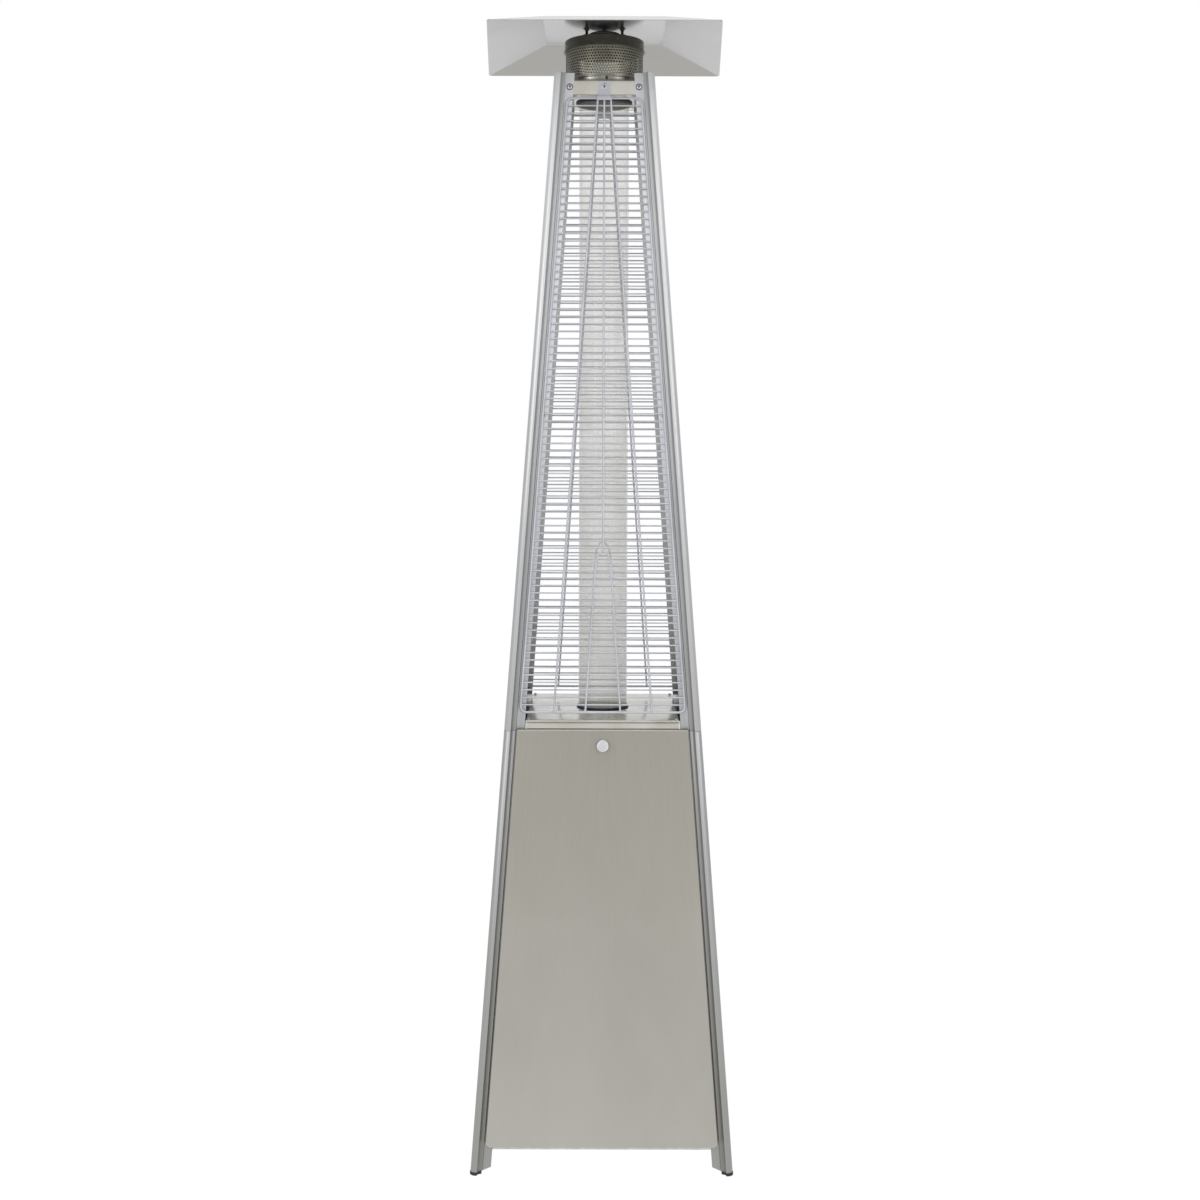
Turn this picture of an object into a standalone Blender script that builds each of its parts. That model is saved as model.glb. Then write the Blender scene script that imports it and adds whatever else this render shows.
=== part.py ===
# Square pyramid gas patio heater with a glass flame tube. Metres, +Z up, the door faces -Y.
import math

import bmesh
import bpy
from mathutils import Matrix, Vector

# Frame: four corner posts that lean inwards along both sides.
FLOOR_HALF = 0.260  # half the outer span of the legs at floor level
HEAD_HALF = 0.0981  # half the outer span of the legs at their tops
LEG_TOP = 2.162
LEG_SPLIT = 0.8765  # where a lower leg meets its upper leg
LEAN = (FLOOR_HALF - HEAD_HALF) / LEG_TOP
GAP = 0.0003  # between pieces that touch
SHEET = 0.0012
ROUND = 36  # facets of the larger round pieces

# Leg profile, measured inwards from the outer corner of the post.
NOSE_RADIUS = 0.012
NOSE_FLAT = 0.0015
FLUTE_RADIUS = 0.0093
FLANGE_FACE = 0.013  # set back of the flange from the face plane
FLANGE_THICK = 0.0025
FLANGE_START = 0.024
FLANGE_END = 0.040
FLANGE_CUT = 0.007  # rise of the slanted cut at the foot of a flange
FOOT_HEIGHT = 0.005
FOOT_GROW = 0.0008
FLANGE_BACK = FLANGE_FACE + FLANGE_THICK
SEAT = FLANGE_BACK + GAP  # depth of whatever is screwed behind the flanges

# Panels of the cylinder housing.
PANEL_FOOT = 0.054
PANEL_OVER_SPLIT = 0.0025
PANEL_EDGE = 0.026  # from the outer corner of the post to the panel's side edge
PANEL_FACE = 0.005
PANEL_RIM = 0.0065  # depth of the folded rim
PANEL_CORNER = 0.008
PANEL_CORNER_RISE = 0.006
PANEL_HEAD = LEG_SPLIT + PANEL_OVER_SPLIT
TRAY_TOP = PANEL_FOOT + 0.0072
TRAY_RIM = 0.015

# Door hinge and pull knob.
HINGE_HEIGHT = PANEL_FOOT + 0.0032
HINGE_DEPTH = 0.0082
HINGE_SPACING = 0.150  # from the middle of the door to the middle of a hinge
HINGE_PLATE = 0.0015
HINGE_MARGIN = 0.003  # between the hinge plate and the edge of the tray rim
JOIN = 0.0003  # overlap that keeps joined shapes clear of shared faces
BARREL_RADIUS = 0.0027
BARREL_LENGTH = 0.031
PIN_RADIUS = 0.0010
EAR_RADIUS = 0.0017
EAR_WIDTH = 0.004
KNOB_RADIUS = 0.012
KNOB_HEIGHT = LEG_SPLIT - 0.0295
KNOB_STEM_RADIUS = 0.004
KNOB_NUT_RADIUS = 0.007
KNOB_NUT_THICK = 0.003
KNOB_COLLAR_RADIUS = 0.0065
KNOB_COLLAR = 0.006
KNOB_DEPTH = 0.0145
KNOB_EDGE = 0.001
MAGNET_HALF_WIDTH = 0.020
MAGNET_DEPTH = 0.0068
MAGNET_FOOT = LEG_SPLIT - 0.0185
MAGNET_HEIGHT = 0.011

# Glass tube.
GLASS_RADIUS = 0.050
GLASS_WALL = 0.0025

# Burner deck and burner box.
DECK = LEG_SPLIT + 0.0200  # top face of the polished plate
DECK_THICK = 0.0015
DECK_HALF_WIDTH = 0.138
APRON_DEPTH = 0.0143
APRON_DROP = 0.0245
APRON_HALF_WIDTH = 0.1505
APRON_SHOULDER = 0.0035  # from the deck down to where the apron widens
BOX_HALF_WIDTH = 0.1435
BOX_HEIGHT = 0.0947
BOX_TOP = DECK - DECK_THICK - GAP
BOX_FOOT = BOX_TOP - BOX_HEIGHT
BURNER_HOLE = GLASS_RADIUS - 0.004
CUP_RADIUS = 0.040
CUP_DEPTH = 0.032
CUP_FLANGE = BURNER_HOLE + 0.006
CUP_TOP = BOX_TOP - SHEET - GAP
CUP_FOOT = CUP_TOP - CUP_DEPTH
PROBE_OFFSET = 0.025  # pilot, thermocouple and electrode stand this far from the axis
PILOT_RADIUS = 0.005
PROBE_RADIUS = 0.003
PROBE_NUT = 0.002  # how far the nut of a probe stands out around it
PROBE_TAIL = 0.020
PROBE_SINK = 0.006  # from the top of the cup down to the tip of a probe
PROBE_TAPER = 0.006
PROBE_TIP = 0.7
MIXER_RADIUS = 0.0115
MIXER_WALL = 0.002
MIXER_LENGTH = 0.104
MIXER_TOP = CUP_FOOT + 0.013

# Controls behind the door.
CONTROL_PLANE = 0.1362  # distance of the control panel's front face from the axis
CONTROL_HEIGHT = LEG_SPLIT - 0.1195
CONTROL_FOOT = CONTROL_HEIGHT - 0.042
KNOB_PLACE = -0.035
BUTTON_PLACE = 0.050
STEM_RADIUS = 0.004
STEM_TRAVEL = 0.003
CONTROL_KNOB_RADIUS = 0.022
CONTROL_KNOB_DEPTH = 0.020
BUTTON_RADIUS = 0.006
BUTTON_TRAVEL = 0.004
VALVE_WIDTH = 0.045
VALVE_DEPTH = 0.042
VALVE_HEIGHT = 0.046
VALVE_BORE = 0.014
KNOB_STAND_OFF = 0.0025  # left between knob and board when the knob is pushed in
KNOB_SOCKET = 0.014
KNOB_SKIRT = 0.004
KNOB_SKIRT_STEP = 0.005
POINTER_HALF = 0.0015
POINTER_RISE = 0.002
CASING_RADIUS = 0.011
CASING_DEPTH = 0.036
CASING_WELL = 0.016
BUTTON_OUT = 0.004
SWITCH_PLACE = 0.106
SWITCH_HALF_WIDTH = 0.016
SWITCH_HALF_HEIGHT = 0.012
SWITCH_DEPTH = 0.022
HOSE_BARBS = 3
BARB_PITCH = 0.006
BARB_ROOT = 0.0036
BARB_TIP = 0.0050
INLET_LENGTH = 0.034
INLET_NUT_RADIUS = 0.0095
INLET_NUT_HEIGHT = 0.012
PIPE_RADIUS = 0.004
PIPE_BEND = 0.018
PIPE_DROP = 0.015  # from the middle of the valve down to the pipe

# Rings of the glass.
RING_WALL = 0.0032
RING_DROP = 0.0045
RING_COLLAR = 0.003
SEAL_LIP = 0.0010
SEAL_HEIGHT = 0.0030
SEAL_REACH = 0.0005
GLASS_IN_HEAD = 0.011  # how far the glass reaches into the top support

# Head of the heater, stacked upwards.
SUPPORT_TOP = LEG_TOP - 0.0165
SUPPORT_HEIGHT = 0.026
SUPPORT_FOOT = SUPPORT_TOP - SUPPORT_HEIGHT
SCREEN_RADIUS = 0.0773
NECK_HEIGHT = 0.0132
SCREEN_HEIGHT = 0.0578
SCREEN_WALL = 0.001
NECK_WALL = 0.0025
NECK_FLARE = 0.0012
NECK_FLARE_HEIGHT = 0.002
PLATE_MARGIN = 0.010  # from the glass to the hole of the head plate
CAP_LIP = SCREEN_RADIUS + 0.0032
CAP_BEAD = 0.0015
CAP_BAND = 0.0195
CAP_CONE = 0.0091
CAP_TOP_RADIUS = 0.046
CAP_HOLE = 0.028
DISC_RADIUS = 0.0326
DISC_THICK = 0.0072
STUD_CIRCLE = 0.0408
STUD_RADIUS = 0.0030
STUD_LENGTH = 0.027
STUD_RISE = 0.0145  # from the foot of a stud to the reflector
STUD_NUT_RADIUS = 0.0052
STUD_NUT_HEIGHT = 0.0030
PLATE_FOOT = SUPPORT_TOP + GAP
NECK_FOOT = PLATE_FOOT + SHEET + GAP
SCREEN_FOOT = NECK_FOOT + NECK_HEIGHT + GAP
CAP_FOOT = SCREEN_FOOT + SCREEN_HEIGHT + GAP
STUD_FOOT = CAP_FOOT + CAP_BAND + CAP_CONE + GAP

# Reflector: a folded square hood, slightly narrower at the front.
REFLECTOR_DEPTH_HALF = 0.250
REFLECTOR_FRONT_HALF = 0.220
REFLECTOR_BACK_HALF = 0.2475
REFLECTOR_FLAT_HALF = 0.119
REFLECTOR_DROP = 0.0376
REFLECTOR_CORNER = 0.010
REFLECTOR_PLANE = STUD_FOOT + STUD_RISE

# Wire guards.
GUARD_WIRE = 0.004
GUARD_CROSS = 0.003
GUARD_DEPTH = FLANGE_FACE - GAP - GUARD_WIRE
GUARD_EDGE = 0.0268
GUARD_FOOT = LEG_SPLIT + 0.0332
GUARD_TOP = SUPPORT_FOOT - 0.0047
GUARD_BARS = 10
GUARD_UPRIGHT_FOOT = 0.0965
GUARD_UPRIGHT_TOP = 0.0125
CLIP_TOP_HALF = 0.0095
CLIP_FOOT_HALF = 0.0150
CLIP_HOOK = 0.0075

SIDES = {"front": 0, "right": 90, "rear": 180, "left": 270}
CORNERS = {
    "front_left": (-1, -1),
    "front_right": (1, -1),
    "rear_left": (-1, 1),
    "rear_right": (1, 1),
}

# Colour, roughness and metallic value of each material.
PAINTS = {
    "leg_aluminium": ((0.62, 0.63, 0.64), 0.40, 0.9),
    "foot_rubber": ((0.02, 0.02, 0.02), 0.80, 0.0),
    "brushed_steel": ((0.55, 0.54, 0.50), 0.35, 1.0),
    "polished_steel": ((0.66, 0.65, 0.61), 0.12, 1.0),
    "black_enamel": ((0.03, 0.03, 0.03), 0.55, 0.0),
    "borosilicate_glass": ((0.85, 0.84, 0.80), 0.05, 0.0),
    "guard_paint": ((0.60, 0.61, 0.64), 0.35, 0.3),
    "burnt_steel": ((0.34, 0.33, 0.28), 0.38, 1.0),
    "stud_steel": ((0.20, 0.20, 0.17), 0.45, 1.0),
    "reflector_aluminium": ((0.70, 0.70, 0.69), 0.50, 0.7),
    "brass": ((0.72, 0.56, 0.28), 0.30, 1.0),
    "zinc_steel": ((0.55, 0.55, 0.55), 0.45, 1.0),
    "black_plastic": ((0.03, 0.03, 0.03), 0.45, 0.0),
    "pull_chrome": ((0.80, 0.80, 0.80), 0.18, 1.0),
}


def outer(z):
    return FLOOR_HALF - LEAN * z


def paint(name):
    material = bpy.data.materials.get(name)
    if material is None:
        colour, roughness, metallic = PAINTS[name]
        material = bpy.data.materials.new(name)
        material.use_nodes = True
        shader = material.node_tree.nodes["Principled BSDF"]
        shader.inputs["Base Color"].default_value = (*colour, 1.0)
        shader.inputs["Roughness"].default_value = roughness
        shader.inputs["Metallic"].default_value = metallic
    return material


def add(name, bm, material, smooth=False):
    bmesh.ops.recalc_face_normals(bm, faces=bm.faces)
    mesh = bpy.data.meshes.new(name)
    bm.to_mesh(mesh)
    bm.free()
    if smooth:
        mesh.shade_smooth()
        mesh.set_sharp_from_angle(angle=math.radians(35))
    mesh.materials.append(paint(material))
    obj = bpy.data.objects.new(name, mesh)
    bpy.context.collection.objects.link(obj)
    return obj


def combine(target, operation, *others):
    for other in others:
        other.hide_render = True
        other.display_type = "WIRE"
        modifier = target.modifiers.new(operation.lower() + "_" + other.name, "BOOLEAN")
        modifier.operation = operation
        modifier.object = other
        modifier.solver = "EXACT"


def arc(centre, radius, start, end, steps):
    points = []
    for step in range(steps + 1):
        angle = math.radians(start + (end - start) * step / steps)
        points.append((centre[0] + radius * math.cos(angle), centre[1] + radius * math.sin(angle)))
    return points


# A prism between two lists of points, one above the other.
def loft(lower, upper):
    bm = bmesh.new()
    foot = [bm.verts.new(point) for point in lower]
    head = [bm.verts.new(point) for point in upper]
    bm.faces.new(reversed(foot))
    bm.faces.new(head)
    for index in range(len(foot)):
        following = (index + 1) % len(foot)
        bm.faces.new((foot[index], foot[following], head[following], head[index]))
    return bm


def block(low, high):
    bm = bmesh.new()
    bmesh.ops.create_cube(bm, size=1.0)
    low = Vector(low)
    high = Vector(high)
    bmesh.ops.scale(bm, vec=high - low, verts=bm.verts)
    bmesh.ops.translate(bm, vec=(low + high) / 2, verts=bm.verts)
    return bm


# A block on the front face whose width and depth follow the lean: edge and depth are measured from the posts.
def leaning_block(left, right, near, far, foot, head):
    bm = block((left, near, foot), (right, far, head))
    for vert in bm.verts:
        vert.co.y -= outer(vert.co.z)
    return bm


# A closed profile of (radius, height) points turned about an upright axis.
def turned(profile, segments=ROUND, centre=(0, 0, 0)):
    bm = bmesh.new()
    verts = [bm.verts.new((radius, 0, height)) for radius, height in profile]
    edges = []
    for index, vert in enumerate(verts):
        following = verts[(index + 1) % len(verts)]
        if vert.co.x > 0 or following.co.x > 0:
            edges.append(bm.edges.new((vert, following)))
    bmesh.ops.spin(
        bm, geom=verts + edges, cent=(0, 0, 0), axis=(0, 0, 1), angle=2 * math.pi, steps=segments
    )
    bmesh.ops.remove_doubles(bm, verts=bm.verts, dist=0.00001)
    bmesh.ops.translate(bm, vec=centre, verts=bm.verts)
    return bm


def rod(radius, foot, head, centre=(0, 0), segments=20):
    return turned([(0, foot), (radius, foot), (radius, head), (0, head)], segments, (*centre, 0))


# Turns a shape made upright so that its height points towards the viewer, along -Y.
def facing(bm, x, y, z):
    turn = Matrix.Translation((x, y, z)) @ Matrix.Rotation(math.radians(90), 4, "X")
    bmesh.ops.transform(bm, matrix=turn, verts=bm.verts)
    return bm


def across(bm, x, y, z):
    turn = Matrix.Translation((x, y, z)) @ Matrix.Rotation(math.radians(90), 4, "Y")
    bmesh.ops.transform(bm, matrix=turn, verts=bm.verts)
    return bm


def nose_outline(grow=0.0):
    flat_end = NOSE_RADIUS + NOSE_FLAT
    flute_centre = flat_end + FLUTE_RADIUS
    points = arc((flute_centre, -grow), FLUTE_RADIUS, 90, 180, 4)
    points += arc((NOSE_RADIUS, NOSE_RADIUS), NOSE_RADIUS + grow, 270, 180, 6)
    points += arc((-grow, flute_centre), FLUTE_RADIUS, 270, 360, 4)
    return points


def leg_outline():
    points = [(FLANGE_END, FLANGE_FACE), (FLANGE_START, FLANGE_FACE)]
    points += nose_outline()
    points += [
        (FLANGE_FACE, FLANGE_START),
        (FLANGE_FACE, FLANGE_END),
        (FLANGE_BACK, FLANGE_END),
        (FLANGE_BACK, FLANGE_BACK),
        (FLANGE_END, FLANGE_BACK),
    ]
    return points


def corner_point(point, z, signs):
    return (signs[0] * (outer(z) - point[0]), signs[1] * (outer(z) - point[1]), z)


def flange_share(point):
    return max(0.0, (max(point) - FLANGE_START) / (FLANGE_END - FLANGE_START))


def make_legs():
    outline = leg_outline()
    foot_outline = nose_outline(FOOT_GROW) + [(FLANGE_BACK, FLANGE_BACK)]
    for corner, signs in CORNERS.items():
        foot = [
            corner_point(point, FOOT_HEIGHT + GAP + FLANGE_CUT * flange_share(point), signs)
            for point in outline
        ]
        split = [corner_point(point, LEG_SPLIT - GAP / 2, signs) for point in outline]
        add("lower_leg_" + corner, loft(foot, split), "leg_aluminium", True)
        start = [corner_point(point, LEG_SPLIT + GAP / 2, signs) for point in outline]
        end = [corner_point(point, LEG_TOP, signs) for point in outline]
        add("upper_leg_" + corner, loft(start, end), "leg_aluminium", True)
        ground = [corner_point(point, 0, signs) for point in foot_outline]
        cap = [corner_point(point, FOOT_HEIGHT, signs) for point in foot_outline]
        add("foot_cap_" + corner, loft(ground, cap), "foot_rubber", True)


# A folded sheet panel: face, two side rims and a top rim. The foot stays open.
def panel(name, side):
    near_y = PANEL_FACE
    far_y = PANEL_FACE + PANEL_RIM
    shoulder = PANEL_FOOT + PANEL_CORNER_RISE
    edge_foot = outer(PANEL_FOOT) - PANEL_EDGE - PANEL_CORNER
    edge_shoulder = outer(shoulder) - PANEL_EDGE
    edge_head = outer(PANEL_HEAD) - PANEL_EDGE
    face = [(-edge_foot, PANEL_FOOT), (edge_foot, PANEL_FOOT)]
    face += [(edge_shoulder, shoulder), (edge_head, PANEL_HEAD)]
    face += [(-edge_head, PANEL_HEAD), (-edge_shoulder, shoulder)]
    bm = bmesh.new()
    front = [bm.verts.new((x, near_y - outer(z), z)) for x, z in face]
    back = [bm.verts.new((x, far_y - outer(z), z)) for x, z in face[2:]]
    bm.faces.new(front)
    for index in range(3):
        bm.faces.new((front[index + 2], back[index], back[index + 1], front[index + 3]))
    obj = add(name, bm, "brushed_steel")
    fold = obj.modifiers.new("sheet", "SOLIDIFY")
    fold.thickness = SHEET
    fold.offset = -1
    fold.use_even_offset = True
    obj.rotation_euler.z = math.radians(SIDES[side])
    return obj


# A tray or pan that fills the square behind the flanges, its walls following the lean.
def square_pan(name, closed, open_end, material):
    bm = bmesh.new()
    rings = []
    for z in (closed, open_end):
        half = outer(z) - SEAT
        corners = ((-half, -half), (half, -half), (half, half), (-half, half))
        rings.append([bm.verts.new((x, y, z)) for x, y in corners])
    bm.faces.new(rings[0])
    for index in range(4):
        following = (index + 1) % 4
        bm.faces.new((rings[0][index], rings[0][following], rings[1][following], rings[1][index]))
    obj = add(name, bm, material)
    wall = obj.modifiers.new("sheet", "SOLIDIFY")
    wall.thickness = SHEET
    wall.offset = -1
    wall.use_even_offset = True
    return obj


def make_door():
    door = panel("door_panel", "front")
    hinge_y = HINGE_DEPTH - outer(HINGE_HEIGHT)
    bore = PIN_RADIUS + GAP
    for side, sign in (("left", -1), ("right", 1)):
        middle = sign * HINGE_SPACING
        start = middle - BARREL_LENGTH / 2
        barrel = rod(BARREL_RADIUS, 0, BARREL_LENGTH, segments=16)
        barrel = add("barrel_" + side, across(barrel, start, hinge_y, HINGE_HEIGHT), "brushed_steel")
        hole = rod(bore, -0.01, BARREL_LENGTH + 0.01, segments=12)
        hole = add("barrel_bore_" + side, across(hole, start, hinge_y, HINGE_HEIGHT), "brushed_steel")
        combine(door, "UNION", barrel)
        combine(door, "DIFFERENCE", hole)
        make_hinge(side, middle, hinge_y)
    knob_y = PANEL_FACE - outer(KNOB_HEIGHT)
    hole = rod(KNOB_STEM_RADIUS + GAP, -0.01, 0.01, segments=20)
    hole = add("knob_hole", facing(hole, 0, knob_y, KNOB_HEIGHT), "brushed_steel")
    combine(door, "DIFFERENCE", hole)
    # The knob leans back with the door, so its neck clears the sheet on both sides.
    inside = -(SHEET + 2 * GAP)
    profile = [
        (0, inside - KNOB_NUT_THICK),
        (KNOB_NUT_RADIUS, inside - KNOB_NUT_THICK),
        (KNOB_NUT_RADIUS, inside),
        (KNOB_STEM_RADIUS, inside),
        (KNOB_STEM_RADIUS, 2 * GAP),
        (KNOB_COLLAR_RADIUS, 2 * GAP),
        (KNOB_COLLAR_RADIUS, KNOB_COLLAR),
        (KNOB_RADIUS - KNOB_EDGE, KNOB_COLLAR + KNOB_EDGE),
        (KNOB_RADIUS, KNOB_COLLAR + 2 * KNOB_EDGE),
        (KNOB_RADIUS, KNOB_DEPTH - 2 * KNOB_EDGE),
        (KNOB_RADIUS - KNOB_EDGE, KNOB_DEPTH - KNOB_EDGE / 2),
        (0, KNOB_DEPTH),
    ]
    knob = turned(profile, 24)
    tilt = Matrix.Rotation(math.radians(90) - math.atan(LEAN), 4, "X")
    place = Matrix.Translation((0, knob_y, KNOB_HEIGHT))
    bmesh.ops.transform(knob, matrix=place @ tilt, verts=knob.verts)
    add("door_knob", knob, "pull_chrome", True)


def make_hinge(side, middle, hinge_y):
    half = BARREL_LENGTH / 2 + GAP
    reach = half + EAR_WIDTH
    far = FLANGE_BACK
    foot = TRAY_TOP - TRAY_RIM + HINGE_MARGIN
    plate = leaning_block(middle - reach, middle + reach, far - HINGE_PLATE, far, foot, TRAY_TOP - JOIN)
    bracket = add("door_hinge_" + side, plate, "zinc_steel")
    pin = rod(PIN_RADIUS, 0, 2 * reach - EAR_WIDTH, segments=12)
    pin_start = middle - reach + EAR_WIDTH / 2
    pin = add("hinge_pin_" + side, across(pin, pin_start, hinge_y, HINGE_HEIGHT), "zinc_steel")
    for end, sign in (("outer", -1), ("inner", 1)):
        low = middle + sign * half + min(0, sign * EAR_WIDTH)
        boss = rod(EAR_RADIUS, 0, EAR_WIDTH, segments=16)
        boss = across(boss, low, hinge_y, HINGE_HEIGHT)
        boss = add("hinge_boss_" + side + end, boss, "zinc_steel")
        arm_low = (low + JOIN / 3, hinge_y, HINGE_HEIGHT - EAR_RADIUS + JOIN)
        arm_far = far - HINGE_PLATE / 2 - outer(HINGE_HEIGHT)
        arm_high = (low + EAR_WIDTH - JOIN / 3, arm_far, HINGE_HEIGHT + EAR_RADIUS - JOIN)
        arm = add("hinge_arm_" + side + end, block(arm_low, arm_high), "zinc_steel")
        combine(bracket, "UNION", arm, boss)
    combine(bracket, "UNION", pin)


def make_housing():
    make_door()
    panel("side_panel_right", "right")
    panel("rear_panel", "rear")
    panel("side_panel_left", "left")
    square_pan("base_tray", TRAY_TOP, TRAY_TOP - TRAY_RIM, "zinc_steel")
    half = MAGNET_HALF_WIDTH
    head = MAGNET_FOOT + MAGNET_HEIGHT
    magnet = leaning_block(-half, half, MAGNET_DEPTH, FLANGE_BACK, MAGNET_FOOT, head)
    add("door_magnet", magnet, "black_plastic")


def make_burner_box():
    half_depth = outer(BOX_TOP) - SEAT - SHEET / 2
    low = (-BOX_HALF_WIDTH, -half_depth, BOX_TOP - SHEET)
    box = add("burner_box", block(low, (BOX_HALF_WIDTH, half_depth, BOX_TOP)), "black_enamel")
    for name, sign in (("left", -1), ("right", 1)):
        ends = sorted((sign * BOX_HALF_WIDTH, sign * (BOX_HALF_WIDTH - SHEET)))
        low = (ends[0], -half_depth, BOX_FOOT)
        wall = add("box_wall_" + name, block(low, (ends[1], half_depth, BOX_TOP)), "black_enamel")
        combine(box, "UNION", wall)
    for name, turn in (("front", 0), ("rear", 180)):
        end = leaning_block(-1, 1, SEAT, SEAT + SHEET, BOX_FOOT, BOX_TOP)
        for vert in end.verts:
            vert.co.x = math.copysign(outer(vert.co.z) - FLANGE_START, vert.co.x)
        bmesh.ops.rotate(end, matrix=Matrix.Rotation(math.radians(turn), 3, "Z"), verts=end.verts)
        combine(box, "UNION", add("box_end_" + name, end, "black_enamel"))
    hole = add("box_hole", rod(BURNER_HOLE, BOX_TOP - 0.01, BOX_TOP + 0.01, segments=ROUND), "black_enamel")
    combine(box, "DIFFERENCE", hole)


def make_deck():
    reach = outer(DECK) - APRON_DEPTH
    low = (-DECK_HALF_WIDTH, -reach, DECK - DECK_THICK)
    deck = add("burner_top_plate", block(low, (DECK_HALF_WIDTH, reach, DECK)), "polished_steel")
    foot = DECK - APRON_DROP
    back = APRON_DEPTH + SHEET
    parts = (("bend", DECK_HALF_WIDTH, DECK), ("apron", APRON_HALF_WIDTH, DECK - APRON_SHOULDER))
    for name, turn in (("front", 0), ("rear", 180)):
        for part, half, head in parts:
            apron = leaning_block(-half, half, APRON_DEPTH, back, foot, head)
            bmesh.ops.rotate(apron, matrix=Matrix.Rotation(math.radians(turn), 3, "Z"), verts=apron.verts)
            combine(deck, "UNION", add(part + "_" + name, apron, "polished_steel"))
    hole = add("deck_hole", rod(BURNER_HOLE, DECK - 0.01, DECK + 0.01, segments=ROUND), "polished_steel")
    combine(deck, "DIFFERENCE", hole)


def make_burner():
    cup_wall = CUP_RADIUS - SHEET
    centre_hole = MIXER_RADIUS + GAP
    profile = [
        (centre_hole, CUP_FOOT),
        (CUP_RADIUS, CUP_FOOT),
        (CUP_RADIUS, CUP_TOP - SHEET),
        (CUP_FLANGE, CUP_TOP - SHEET),
        (CUP_FLANGE, CUP_TOP),
        (cup_wall, CUP_TOP),
        (cup_wall, CUP_FOOT + SHEET),
        (centre_hole, CUP_FOOT + SHEET),
    ]
    cup = add("burner_cup", turned(profile), "burnt_steel", True)
    probes = (
        ("pilot_burner", (PROBE_OFFSET, 0), PILOT_RADIUS, "brass"),
        ("thermocouple", (-PROBE_OFFSET, 0), PROBE_RADIUS, "zinc_steel"),
        ("spark_electrode", (0, PROBE_OFFSET), PROBE_RADIUS, "black_plastic"),
    )
    for name, centre, radius, material in probes:
        hole = rod(radius + GAP, CUP_FOOT - 0.01, CUP_FOOT + 0.01, centre, 20)
        combine(cup, "DIFFERENCE", add(name + "_hole", hole, "burnt_steel"))
        low = CUP_FOOT - PROBE_TAIL
        tip = CUP_TOP - PROBE_SINK
        shape = [
            (0, low),
            (radius + PROBE_NUT, low),
            (radius + PROBE_NUT, CUP_FOOT - GAP),
            (radius, CUP_FOOT - GAP),
            (radius, tip - PROBE_TAPER),
            (radius * PROBE_TIP, tip),
            (0, tip),
        ]
        add(name, turned(shape, 20, (*centre, 0)), material, True)
    inner = MIXER_RADIUS - MIXER_WALL
    foot = MIXER_TOP - MIXER_LENGTH
    profile = [(inner, foot), (MIXER_RADIUS, foot), (MIXER_RADIUS, MIXER_TOP), (inner, MIXER_TOP)]
    add("mixing_tube", turned(profile, 28), "burnt_steel", True)


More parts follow.
